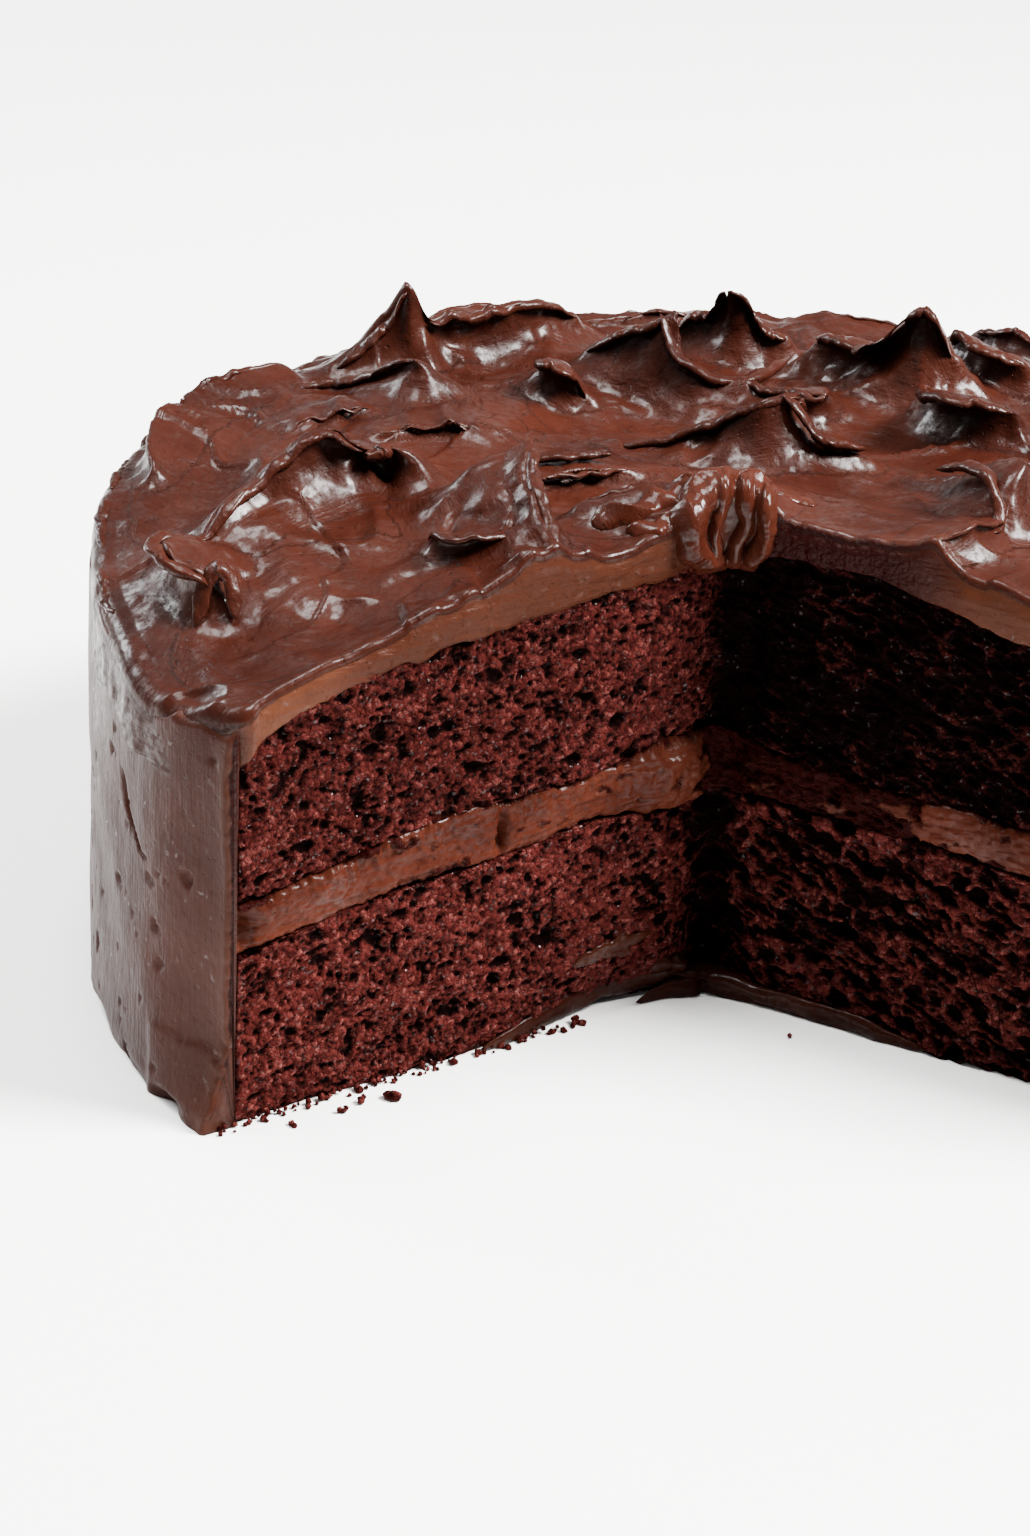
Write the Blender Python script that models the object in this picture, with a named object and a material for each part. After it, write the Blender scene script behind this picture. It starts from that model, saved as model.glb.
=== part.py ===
"""A two-layer chocolate cake with a wide slice cut out, coated in swirled frosting.

The lower and the upper sponge, the filling between them and the frosting over all are four
bodies. All are worked out in metres, +Z up, around the middle of the cake's foot, with the
open slice towards -Y.
"""

import bmesh
import bpy
import numpy as np

CAKE_NAME = "chocolate_layer_cake"

# The plan of the cake and of the cut, in metres and degrees.
FOOT_RADIUS = 0.107
WALL_RADIUS = 0.1064
SPONGE_RADIUS = 0.1005
APEX = np.array([-0.005, -0.0138])
RIGHT_CUT = -31.0
LEFT_CUT = 211.0
FIT_GAP = 0.0003

# How high each layer reaches in the middle, and how far it falls to the rim. The frosting is
# thicker towards the back of the cake, away from the slice.
FILLING_MIDDLE = 0.0425
FILLING_FALL = 0.0105
FILLING_THICK = 0.0088
SPONGE_TOP = 0.0778
SPONGE_FALL = 0.010
SPONGE_SHOULDER = 0.008
FROSTING_THICK = 0.0056
BACK_THICK = 0.0085
BACK_FROM = -0.055
BACK_TO = 0.020

# The coat's foot flares out, its rim is rounded, and the knife drew in its two cut corners.
FLARE_HEIGHT = 0.016
RIM_ROUND = 0.0035
CORNER_DRAW = 0.0040
CORNER_WIDTH = 6.0

# The torn faces of the cut, and the mesh: rings from the apex to the rim, and rows up a side.
CRUMB_DEPTH = 0.0008
FILLING_BULGE = 0.0011
SECTORS = 4
LAYER_RINGS = 13
LAYER_ROWS = 5
FILLING_ROWS = 2
FROSTING_RINGS = 39
FROSTING_LEVELS = (0.055, 0.032, 0.014, 0.005, 0.0)
CREST_ROUND = 0.0010
CREST_LEAN = 0.5
CUTTER_OVERRUN = 0.006

# Ridges that the spoon pulled up. Each crest runs through three points, given as x, y and height
# over the coat. Then come the reach of its left and of its right flank, seen along the crest, and
# how far the crest leans over to the right.
RIDGES = (
    ((-0.068, 0.055, 0.003), (-0.061, 0.058, 0.008), (-0.057, 0.060, 0.0150), 0.011, 0.012, 0.001),
    ((-0.054, 0.062, 0.009), (-0.040, 0.070, 0.009), (-0.026, 0.078, 0.005), 0.010, 0.009, 0.002),
    ((-0.074, 0.045, 0.003), (-0.063, 0.044, 0.005), (-0.053, 0.037, 0.0105), 0.008, 0.016, 0.002),
    ((-0.032, 0.046, 0.005), (-0.029, 0.044, 0.0085), (-0.025, 0.042, 0.003), 0.006, 0.007, 0.002),
    ((-0.024, 0.057, 0.003), (-0.017, 0.054, 0.008), (-0.0125, 0.051, 0.0135), 0.008, 0.011, 0.001),
    ((-0.0125, 0.051, 0.012), (-0.0075, 0.0445, 0.005), (0.001, 0.044, 0.004), 0.005, 0.006, -0.002),
    ((-0.009, 0.074, 0.005), (-0.002, 0.0725, 0.009), (0.0035, 0.0690, 0.0150), 0.006, 0.010, 0.002),
    ((0.0035, 0.0690, 0.013), (0.007, 0.068, 0.007), (0.012, 0.067, 0.005), 0.007, 0.006, 0.001),
    ((0.001, 0.045, 0.002), (0.009, 0.041, 0.004), (0.014, 0.040, 0.008), 0.008, 0.006, 0.003),
    ((-0.022, 0.020, 0.001), (-0.008, 0.015, 0.005), (0.004, 0.013, 0.0125), 0.009, 0.012, 0.001),
    ((0.004, 0.013, 0.0115), (0.009, 0.011, 0.006), (0.018, 0.013, 0.003), 0.006, 0.007, -0.003),
    ((0.018, 0.066, 0.004), (0.024, 0.060, 0.008), (0.030, 0.053, 0.010), 0.009, 0.006, 0.004),
    ((0.030, 0.052, 0.010), (0.034, 0.049, 0.0160), (0.038, 0.047, 0.008), 0.012, 0.013, 0.001),
    ((0.034, 0.040, 0.004), (0.038, 0.032, 0.011), (0.045, 0.027, 0.007), 0.011, 0.007, 0.004),
    ((0.026, 0.006, 0.002), (0.031, -0.002, 0.006), (0.037, -0.012, 0.0115), 0.011, 0.009, -0.002),
    ((0.043, 0.068, 0.004), (0.047, 0.060, 0.008), (0.052, 0.056, 0.006), 0.009, 0.007, 0.002),
    ((-0.035, -0.030, 0.003), (-0.0385, -0.021, 0.007), (-0.0405, -0.0115, 0.0130), 0.018, 0.008, 0.001),
    ((-0.053, -0.024, 0.002), (-0.047, -0.025, 0.006), (-0.040, -0.019, 0.002), 0.010, 0.006, 0.002),
    ((-0.038, 0.001, 0.004), (-0.030, 0.005, 0.004), (-0.021, 0.006, 0.002), 0.010, 0.006, 0.002),
    ((-0.089, -0.020, 0.003), (-0.079, -0.008, 0.008), (-0.068, 0.000, 0.012), 0.010, 0.014, 0.001),
    ((-0.068, 0.001, 0.011), (-0.061, 0.004, 0.009), (-0.056, 0.000, 0.008), 0.010, 0.007, 0.004),
    ((-0.090, -0.018, 0.002), (-0.089, -0.027, 0.0095), (-0.086, -0.032, 0.003), 0.009, 0.006, 0.003),
    ((-0.096, 0.012, 0.003), (-0.095, 0.024, 0.0055), (-0.091, 0.036, 0.004), 0.006, 0.009, -0.001),
    ((-0.091, 0.036, 0.004), (-0.085, 0.045, 0.005), (-0.076, 0.051, 0.004), 0.006, 0.009, -0.001),
    ((-0.014, -0.012, 0.005), (-0.006, -0.014, 0.0075), (-0.001, -0.008, 0.003), 0.012, 0.012, 0.003),
    ((0.023, -0.029, 0.003), (0.030, -0.023, 0.004), (0.036, -0.014, 0.002), 0.008, 0.007, 0.001),
    ((-0.016, -0.011, 0.005), (-0.022, -0.013, 0.004), (-0.029, -0.013, 0.003), 0.008, 0.006, 0.001),
    ((0.056, 0.004, 0.002), (0.063, 0.012, 0.007), (0.066, 0.022, 0.012), 0.013, 0.009, 0.003),
    ((0.050, -0.022, 0.003), (0.062, -0.018, 0.010), (0.073, -0.020, 0.004), 0.013, 0.008, 0.003),
    ((0.077, 0.036, 0.003), (0.073, 0.046, 0.008), (0.066, 0.053, 0.013), 0.013, 0.009, 0.002),
    ((0.088, -0.008, 0.004), (0.089, 0.006, 0.008), (0.085, 0.018, 0.003), 0.007, 0.011, -0.001),
    ((0.076, -0.048, 0.003), (0.079, -0.039, 0.007), (0.086, -0.032, 0.009), 0.009, 0.008, 0.002),
    ((0.016, 0.092, 0.001), (0.029, 0.089, 0.003), (0.041, 0.082, 0.002), 0.007, 0.011, -0.001),
    ((-0.016, 0.085, 0.001), (-0.005, 0.088, 0.003), (0.006, 0.086, 0.003), 0.010, 0.008, 0.001),
    ((-0.052, 0.081, 0.002), (-0.042, 0.086, 0.004), (-0.030, 0.088, 0.003), 0.006, 0.010, -0.001),
    ((0.060, 0.068, 0.003), (0.056, 0.075, 0.006), (0.049, 0.081, 0.003), 0.007, 0.009, -0.001),
    ((-0.060, 0.020, 0.002), (-0.048, 0.024, 0.003), (-0.038, 0.022, 0.001), 0.010, 0.008, 0.002),
    ((-0.076, 0.024, 0.001), (-0.070, 0.029, 0.003), (-0.062, 0.030, 0.001), 0.009, 0.006, 0.002),
)

# Hollows that the back of the spoon pressed: x, y, half length, half width, turn in degrees, depth.
BOWLS = (
    (-0.070, -0.035, 0.018, 0.012, 25.0, 0.0030),
    (-0.087, 0.010, 0.020, 0.010, 75.0, 0.0035),
    (-0.048, 0.008, 0.016, 0.012, 20.0, 0.0025),
    (-0.060, 0.048, 0.015, 0.008, 15.0, 0.0025),
    (-0.014, 0.036, 0.017, 0.011, -15.0, 0.0040),
    (0.021, 0.031, 0.014, 0.012, 30.0, 0.0035),
    (0.020, 0.002, 0.015, 0.011, -35.0, 0.0035),
    (0.012, 0.058, 0.013, 0.009, 35.0, 0.0035),
    (-0.036, 0.062, 0.013, 0.009, 20.0, 0.0025),
    (0.056, 0.038, 0.016, 0.012, 60.0, 0.0040),
    (0.074, -0.004, 0.013, 0.012, 80.0, 0.0035),
    (0.052, -0.004, 0.012, 0.010, -30.0, 0.0030),
    (-0.004, 0.074, 0.016, 0.007, 5.0, 0.0025),
    (0.064, -0.035, 0.014, 0.008, -30.0, 0.0025),
    (0.033, 0.074, 0.014, 0.009, -30.0, 0.0030),
    (-0.024, -0.002, 0.010, 0.008, 10.0, 0.0020),
)

COLOURS = {
    "sponge_lower": ((0.030, 0.0075, 0.0060), 0.85),
    "filling": ((0.085, 0.026, 0.014), 0.35),
    "sponge_upper": ((0.030, 0.0075, 0.0060), 0.85),
    "frosting": ((0.075, 0.021, 0.012), 0.28),
}


def clear_scene():
    """Remove whatever the scene holds."""
    for item in list(bpy.data.objects):
        bpy.data.objects.remove(item, do_unlink=True)


def collection(name):
    """A new collection in the scene."""
    found = bpy.data.collections.new(name)
    bpy.context.scene.collection.children.link(found)
    return found


def material(name):
    """The Principled material of one node."""
    colour, roughness = COLOURS[name]
    made = bpy.data.materials.new(name)
    made.use_nodes = True
    shader = made.node_tree.nodes["Principled BSDF"]
    shader.inputs["Base Color"].default_value = (*colour, 1.0)
    shader.inputs["Roughness"].default_value = roughness
    shader.inputs["Metallic"].default_value = 0.0
    return made


def waves(along, up, pitch):
    """Smooth unevenness from -1 to 1: three crossing waves of unlike lengths."""
    first = np.sin(along / pitch * 6.1 + 1.3 * np.sin(up / pitch * 4.7))
    second = np.sin(up / pitch * 7.3 + 1.7 * np.sin(along / pitch * 3.1 + 2.0))
    third = np.sin((along + up) / pitch * 11.0 + 0.7)
    return (first + second + 0.6 * third) / 2.6


def fan_points(rings):
    """Ring from 0 to 1 and turn from 0 to 1 of each point of a fan, where ring k has 4k + 1 points."""
    counts = [SECTORS * k + 1 for k in range(rings + 1)]
    ring = np.concatenate([np.full(count, k / rings) for k, count in enumerate(counts)])
    turn = np.concatenate([np.linspace(0.0, 1.0, count) for count in counts])
    return ring, turn


def fan_start(ring):
    """Number of the first point of a ring."""
    return SECTORS * ring * (ring - 1) // 2 + ring


def fan_faces(rings):
    """Triangles of the fan, seen anticlockwise from above."""
    faces = []
    for ring in range(1, rings + 1):
        for sector in range(SECTORS):
            near = fan_start(ring - 1) + sector * (ring - 1)
            far = fan_start(ring) + sector * ring
            faces += [(near + i, far + i, far + i + 1) for i in range(ring)]
            faces += [(near + i, far + i + 1, near + i + 1) for i in range(ring - 1)]
    return faces


def fan_edge(rings):
    """Points round the fan: out along the right cut, round the rim and back along the left cut."""
    out = [fan_start(ring) for ring in range(rings + 1)]
    rim = [fan_start(rings) + i for i in range(1, SECTORS * rings + 1)]
    back = [fan_start(ring) + SECTORS * ring for ring in range(rings - 1, 0, -1)]
    return np.array(out + rim + back)


def cut_angle(turn):
    """Direction from the apex: the right cut at turn 0, the left cut at turn 1."""
    return np.radians(RIGHT_CUT + turn * (LEFT_CUT - RIGHT_CUT))


def plan(ring, turn, radius, apex=APEX):
    """Place in plan: a share of the way from the apex to the circle of that radius."""
    angle = cut_angle(turn)
    along = apex[0] * np.cos(angle) + apex[1] * np.sin(angle)
    reach = np.sqrt(along**2 + radius**2 - apex @ apex) - along
    return apex[0] + ring * reach * np.cos(angle), apex[1] + ring * reach * np.sin(angle)


def sponge_height(x, y):
    """Top of the upper sponge: a dome with a rounded shoulder and a hump by the right cut."""
    share = np.hypot(x, y) / FOOT_RADIUS
    hump = 0.0035 * np.exp(-((x - 0.012) ** 2 + (y + 0.020) ** 2) / (2 * 0.015**2))
    return SPONGE_TOP - SPONGE_FALL * share**2 - SPONGE_SHOULDER * share**8 + hump


def filling_faces(x, y):
    """Underside and top of the filling, which swells and thins as it was spread."""
    middle = FILLING_MIDDLE - FILLING_FALL * (np.hypot(x, y) / FOOT_RADIUS) ** 2
    middle = middle + 0.0012 * waves(x, y, 0.09)
    thick = FILLING_THICK * (1.0 + 0.28 * waves(y, x, 0.07))
    thick = thick + 0.004 * np.exp(-((x + 0.012) ** 2 + (y + 0.018) ** 2) / (2 * 0.008**2))
    return middle - thick / 2, middle + thick / 2


def wall_radius(turn, z):
    """Radius of the coat's outer face: flared at its foot and drawn in at the cut corners."""
    degrees = turn * (LEFT_CUT - RIGHT_CUT)
    corner = np.exp(-((degrees / CORNER_WIDTH) ** 2))
    corner = corner + np.exp(-(((LEFT_CUT - RIGHT_CUT - degrees) / CORNER_WIDTH) ** 2))
    flare = np.clip(1.0 - z / FLARE_HEIGHT, 0.0, 1.0) ** 2
    uneven = 0.0006 * waves(degrees * 0.0018, z, 0.05) * (1.0 - flare)
    wall = WALL_RADIUS - CORNER_DRAW * corner + uneven
    return wall + (FOOT_RADIUS - wall) * flare


def crest_points(ridge, count=20):
    """Points of a crest and its height, on the parabola through the ridge's three points."""
    first, middle, last = (np.array(point) for point in ridge[:3])
    along = np.linspace(0.0, 1.0, count + 1)[:, None]
    bend = 2 * middle - (first + last) / 2
    return (1 - along) ** 2 * first + 2 * along * (1 - along) * bend + along**2 * last


def ridge_rise(ridge, x, y):
    """Rise of the surface over one ridge, and the sideways lean of each point.

    The rise falls off as (1 - distance / reach) squared, which gives a narrow crest with hollow
    flanks. The reach goes smoothly from the left flank's to the right flank's round the ends.
    """
    crest = crest_points(ridge)
    left, right, lean = ridge[3:]
    nearest = np.full(x.shape, np.inf)
    rise = np.zeros(x.shape)
    shift = np.zeros((2, *x.shape))
    peak = crest[:, 2].max()
    for start, end in zip(crest[:-1], crest[1:]):
        step = end - start
        run = step[0] ** 2 + step[1] ** 2
        share = np.clip(((x - start[0]) * step[0] + (y - start[1]) * step[1]) / run, 0.0, 1.0)
        off_x, off_y = x - start[0] - share * step[0], y - start[1] - share * step[1]
        distance = np.hypot(off_x, off_y)
        side = (step[0] * off_y - step[1] * off_x) / (np.sqrt(run) * np.maximum(distance, 1e-9))
        reach = right + (left - right) * (0.5 + 0.5 * side)
        away = (np.sqrt(distance**2 + CREST_ROUND**2) - CREST_ROUND) / reach
        height = (start[2] + share * step[2]) * np.clip(1.0 - away, 0.0, 1.0) ** 2
        closer = distance < nearest
        nearest = np.where(closer, distance, nearest)
        rise = np.where(closer, height, rise)
        tilt = CREST_LEAN * lean * (height / peak) ** 2 / np.sqrt(run)
        shift = np.where(closer, np.stack([step[1] * tilt, -step[0] * tilt]), shift)
    return rise, shift


def frosting_surface(x, y):
    """Top of the frosting: the coat over the sponge, pressed into bowls and pulled into ridges.

    Where ridges meet, the fourth root of the sum of their fourth powers keeps the valley between
    them. Each crest leans sideways, so that the tips hang over as soft peaks do.
    """
    radius = np.hypot(x, y)
    back = np.clip((y - BACK_FROM) / (BACK_TO - BACK_FROM), 0.0, 1.0)
    thick = FROSTING_THICK + BACK_THICK * (radius / FOOT_RADIUS) ** 2 * back**2 * (3.0 - 2.0 * back)
    z = sponge_height(x, y) + thick + 0.0009 * waves(x, y, 0.06)
    for bowl_x, bowl_y, length, width, degrees, depth in BOWLS:
        turn = np.radians(degrees)
        along = (x - bowl_x) * np.cos(turn) + (y - bowl_y) * np.sin(turn)
        across = (y - bowl_y) * np.cos(turn) - (x - bowl_x) * np.sin(turn)
        z = z - depth * np.exp(-((along / length) ** 2) - (across / width) ** 2)
    total = np.zeros(x.shape)
    shift = np.zeros((2, *x.shape))
    for ridge in RIDGES:
        rise, lean = ridge_rise(ridge, x, y)
        total = total + rise**4
        shift = shift + lean
    rounding = np.clip((radius - (WALL_RADIUS - RIM_ROUND)) / RIM_ROUND, 0.0, 1.0)
    z = z + total**0.25 - RIM_ROUND * (1.0 - np.sqrt(1.0 - 0.98 * rounding**2))
    return x + shift[0], y + shift[1], z


def side_rows(lower_edge, upper_edge, rows):
    """Points between the edges of two faces, row by row from the upper edge down."""
    share = np.arange(1, rows)[:, None, None] / rows
    return (1 - share) * upper_edge + share * lower_edge


def cut_offset(ring, turn, z, depth):
    """Sideways step of a point on a cut face, out of the cake or into it, as the crumb tore."""
    on_cut = ((turn == 0.0) | (turn == 1.0)) & (ring > 0.0) & (ring < 1.0)
    normal = cut_angle(turn) + np.where(turn < 0.5, -0.5, 0.5) * np.pi
    step = np.where(on_cut, depth * waves(ring * SPONGE_RADIUS + 0.2 * turn, z, 0.05), 0.0)
    return step * np.cos(normal), step * np.sin(normal)


def add_object(name, points, faces, target):
    """A mesh object whose faces are turned outwards."""
    mesh = bpy.data.meshes.new(name)
    mesh.from_pydata(np.asarray(points).tolist(), [], faces)
    shell = bmesh.new()
    shell.from_mesh(mesh)
    bmesh.ops.recalc_face_normals(shell, faces=shell.faces)
    shell.to_mesh(mesh)
    shell.free()
    made = bpy.data.objects.new(name, mesh)
    target.objects.link(made)
    return made


def lofted_body(name, rings, lower, upper, sides, target):
    """A closed body between two faces over the same fan, with rows of points up its sides.

    A lower face of None leaves the foot as one flat polygon.
    """
    edge = fan_edge(rings)
    count = len(edge)
    loops = [edge] + [len(upper) + row * count + np.arange(count) for row in range(len(sides))]
    points = [upper] + list(sides)
    faces = fan_faces(rings)
    if lower is None:
        faces.append([int(i) for i in loops[-1][::-1]])
    else:
        below = len(upper) + len(sides) * count
        loops.append(below + edge)
        points.append(lower)
        faces += [(a + below, c + below, b + below) for a, b, c in fan_faces(rings)]
    for above, under in zip(loops[:-1], loops[1:]):
        after, follow = np.roll(above, -1), np.roll(under, -1)
        faces += np.stack([under, follow, after, above], axis=1).tolist()
    return add_object(name, np.concatenate(points), faces, target)


def layer_face(height, ring, turn, radius, depth):
    """Points of a layer's flat face, its cut edges moved with the torn crumb."""
    x, y = plan(ring, turn, radius)
    z = height(x, y)
    step_x, step_y = cut_offset(ring, turn, z, depth)
    return np.stack([x + step_x, y + step_y, z], axis=1)


def layer(name, lower, upper, rows, depth, target):
    """One layer of the cake, between two height functions, or down to the table for None."""
    ring, turn = fan_points(LAYER_RINGS)
    edge = fan_edge(LAYER_RINGS)
    floor = lower is None
    low = (lambda x, y: 0.0 * x) if floor else lower
    under = layer_face(low, ring, turn, SPONGE_RADIUS, 0.0 if floor else depth)
    over = layer_face(upper, ring, turn, SPONGE_RADIUS, depth)
    flat = layer_face(upper, ring, turn, SPONGE_RADIUS, 0.0)[edge]
    flat_under = layer_face(low, ring, turn, SPONGE_RADIUS, 0.0)[edge]
    sides = side_rows(flat_under, flat, rows)
    step_x, step_y = cut_offset(ring[edge], turn[edge], sides[:, :, 2], depth)
    sides = sides + np.stack([step_x, step_y, np.zeros(step_x.shape)], axis=2)
    if floor:
        sides = np.concatenate([sides, under[edge][None]])
    return lofted_body(name, LAYER_RINGS, None if floor else under, over, sides, target)


def frosting_block(target):
    """The whole cake out to the frosting's outer face, still filled."""
    ring, turn = fan_points(FROSTING_RINGS)
    edge = fan_edge(FROSTING_RINGS)
    x, y = plan(ring, turn, wall_radius(turn, SPONGE_TOP))
    top = np.stack(frosting_surface(x, y), axis=1)
    sides = []
    for level in FROSTING_LEVELS:
        z = np.full(len(edge), level)
        x, y = plan(ring[edge], turn[edge], wall_radius(turn[edge], z))
        sides.append(np.stack([x, y, z], axis=1))
    return lofted_body("frosting", FROSTING_RINGS, None, top, np.array(sides), target)


def sponge_cutter(target):
    """What the frosting leaves free: the sponges with a fit gap, run out past both cuts."""
    ring, turn = fan_points(LAYER_RINGS)
    edge = fan_edge(LAYER_RINGS)
    apex = APEX - np.array([0.0, CUTTER_OVERRUN / np.cos(np.radians(RIGHT_CUT))])
    x, y = plan(ring, turn, SPONGE_RADIUS + FIT_GAP, apex)
    over = np.stack([x, y, sponge_height(x, y) + FIT_GAP], axis=1)
    under = over.copy()
    under[:, 2] = -CUTTER_OVERRUN
    cutter = lofted_body("cutter_sponges", LAYER_RINGS, None, over, under[edge][None], target)
    cutter.hide_render = True
    cutter.display_type = "WIRE"
    return cutter


def build_frosting(target, cutters):
    """The frosting, its inside cut away by the sponges that it covers."""
    coat = frosting_block(target)
    cut = coat.modifiers.new("hollow", "BOOLEAN")
    cut.operation = "DIFFERENCE"
    cut.object = sponge_cutter(cutters)
    return coat


def build_cake():
    """All four bodies of the cake, each with its own material."""
    target = collection(CAKE_NAME)
    cutters = collection("cutters")

    def filling_under(x, y):
        return filling_faces(x, y)[0]

    def filling_over(x, y):
        return filling_faces(x, y)[1]

    def lower_top(x, y):
        return filling_under(x, y) - FIT_GAP

    def upper_foot(x, y):
        return filling_over(x, y) + FIT_GAP

    bodies = (
        layer("sponge_lower", None, lower_top, LAYER_ROWS, CRUMB_DEPTH, target),
        layer("filling", filling_under, filling_over, FILLING_ROWS, FILLING_BULGE, target),
        layer("sponge_upper", upper_foot, sponge_height, LAYER_ROWS, CRUMB_DEPTH, target),
        build_frosting(target, cutters),
    )
    for body in bodies:
        body.data.materials.append(material(body.name))
        body.data.shade_smooth()
        body.data.set_sharp_from_angle(angle=np.radians(50.0))


clear_scene()
build_cake()
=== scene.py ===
import math

import bpy
import numpy as np
from mathutils import Matrix, Vector


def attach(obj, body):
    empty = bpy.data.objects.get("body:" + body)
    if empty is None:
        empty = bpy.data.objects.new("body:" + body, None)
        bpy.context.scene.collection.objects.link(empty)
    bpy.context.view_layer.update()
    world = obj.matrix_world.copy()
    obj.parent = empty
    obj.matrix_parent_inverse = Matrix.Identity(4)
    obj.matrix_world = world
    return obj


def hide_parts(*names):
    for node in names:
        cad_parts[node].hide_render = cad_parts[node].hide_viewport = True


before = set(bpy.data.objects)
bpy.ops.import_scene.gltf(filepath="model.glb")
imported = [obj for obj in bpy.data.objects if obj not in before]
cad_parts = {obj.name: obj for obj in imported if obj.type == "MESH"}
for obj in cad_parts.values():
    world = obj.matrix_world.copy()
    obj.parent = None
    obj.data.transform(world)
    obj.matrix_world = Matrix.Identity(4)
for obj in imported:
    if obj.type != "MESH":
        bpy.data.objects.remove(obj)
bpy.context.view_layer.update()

# The view: a camera in front of the open slice and a little to its left, looking down on the cake.
# The floor is a plain pale sheet under white walls. A strong lamp stands at the right, a broad one
# hangs overhead, and a weak window is behind the cake at the left.
CAMERA_AT = (-0.0728, -0.5055, 0.2849)
CAMERA_HEADING = 4.065
CAMERA_DOWN = 26.431
CAMERA_ROLL = 3.094
LENS_MM = 80.1
FLOOR_SIDE = 8.0
FLOOR_COLOUR = (0.88, 0.88, 0.875, 1.0)
FLOOR_ROUGHNESS = 0.45
SKY_COLOUR = (1.0, 0.985, 0.97, 1.0)
SKY_BRIGHT = 0.92
SKY_DIM = 0.14
SKY_FROM = (-0.50, 0.75, 0.38)
SKY_SPREAD = 0.45
LAMP_AIM = (0.0, 0.0, 0.05)
LAMPS = (
    # Name, place, side, power in watts and colour.
    ("right_lamp", (0.82, -0.14, 1.02), 0.48, 162.0, (1.0, 0.975, 0.95)),
    ("window", (-1.00, 0.75, 0.60), 0.50, 24.0, (0.97, 0.98, 1.0)),
    ("top_lamp", (-0.25, 0.05, 1.45), 0.60, 62.0, (1.0, 0.985, 0.97)),
)


def add_camera():
    """The camera: turned by its heading, then by its look down, then rolled about its own line."""
    heading, down, roll = (math.radians(v) for v in (CAMERA_HEADING, CAMERA_DOWN, CAMERA_ROLL))
    level = math.cos(down)
    ahead = Vector((math.sin(heading) * level, math.cos(heading) * level, -math.sin(down)))
    across = ahead.cross(Vector((0.0, 0.0, 1.0))).normalized()
    above = across.cross(ahead)
    right = math.cos(roll) * across + math.sin(roll) * above
    up = math.cos(roll) * above - math.sin(roll) * across
    made = bpy.data.objects.new("view", bpy.data.cameras.new("view"))
    made.matrix_world = Matrix.Translation(CAMERA_AT) @ Matrix((right, up, -ahead)).transposed().to_4x4()
    made.data.lens = LENS_MM
    made.data.clip_start = 0.01
    bpy.context.scene.collection.objects.link(made)
    bpy.context.scene.camera = made


def add_lamp(name, at, size, power, colour):
    """A square area lamp that faces the cake."""
    light = bpy.data.lights.new(name, "AREA")
    light.size = size
    light.energy = power
    light.color = colour
    made = bpy.data.objects.new(name, light)
    made.location = at
    made.rotation_euler = (Vector(LAMP_AIM) - Vector(at)).to_track_quat("-Z", "Y").to_euler()
    bpy.context.scene.collection.objects.link(made)


def add_floor():
    """A square of floor at z = 0."""
    half = FLOOR_SIDE / 2
    mesh = bpy.data.meshes.new("floor")
    corners = [(-half, -half, 0.0), (half, -half, 0.0), (half, half, 0.0), (-half, half, 0.0)]
    mesh.from_pydata(corners, [], [(0, 1, 2, 3)])
    surface = bpy.data.materials.new("floor")
    surface.use_nodes = True
    shader = surface.node_tree.nodes["Principled BSDF"]
    shader.inputs["Base Color"].default_value = FLOOR_COLOUR
    shader.inputs["Roughness"].default_value = FLOOR_ROUGHNESS
    mesh.materials.append(surface)
    made = bpy.data.objects.new("floor", mesh)
    bpy.context.scene.collection.objects.link(made)


def add_sky():
    """White walls all round, bright behind the cake and at its left, and dim behind the camera."""
    world = bpy.data.worlds.new("studio")
    world.use_nodes = True
    nodes, links = world.node_tree.nodes, world.node_tree.links
    direction = nodes.new("ShaderNodeTexCoord")
    towards = nodes.new("ShaderNodeVectorMath")
    towards.operation = "DOT_PRODUCT"
    towards.inputs[1].default_value = Vector(SKY_FROM).normalized()
    links.new(direction.outputs["Generated"], towards.inputs[0])
    spread = nodes.new("ShaderNodeMapRange")
    spread.interpolation_type = "SMOOTHSTEP"
    links.new(towards.outputs["Value"], spread.inputs["Value"])
    spread.inputs["From Min"].default_value = -SKY_SPREAD
    spread.inputs["From Max"].default_value = SKY_SPREAD
    spread.inputs["To Min"].default_value = SKY_DIM
    spread.inputs["To Max"].default_value = SKY_BRIGHT
    nodes["Background"].inputs["Color"].default_value = SKY_COLOUR
    links.new(spread.outputs["Result"], nodes["Background"].inputs["Strength"])
    bpy.context.scene.world = world


add_camera()
add_floor()
for lamp in LAMPS:
    add_lamp(*lamp)
add_sky()


# The two sponge layers: dark chocolate sponge, baked as two rounds and cut through together, so
# that two faces of torn, open crumb show. Each is a band of points round its edge, a third of a
# millimetre apart on the cut faces, closed above and below by rings that shrink to a pole.
APEX = np.array([-0.005, -0.0138])
RIGHT_CUT = -31.0
LEFT_CUT = 211.0
CUTS = ((RIGHT_CUT, -90.0), (LEFT_CUT, 90.0))
FOOT_RADIUS = 0.107
SPONGE_RADIUS = 0.1005
FIT_GAP = 0.0003
FILLING_MIDDLE = 0.0425
FILLING_FALL = 0.0105
FILLING_THICK = 0.0088
SPONGE_TOP = 0.0778
SPONGE_FALL = 0.010
SPONGE_SHOULDER = 0.008
POLE = APEX + np.array([0.0, 0.015])
APEX_TURN = 0.004
CUT_FACES = 31.0
CAP_SHARES = (0.8, 0.5, 0.25)
CRUMB_STEP = 0.00033
RIM_COLUMNS = 60
LOWER_ROWS = 104
UPPER_ROWS = 96
LOWER_SEED = 11
UPPER_SEED = 53
UPPER_SHADE = 0.30
FLOOR_LIFT = 0.0001
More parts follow.
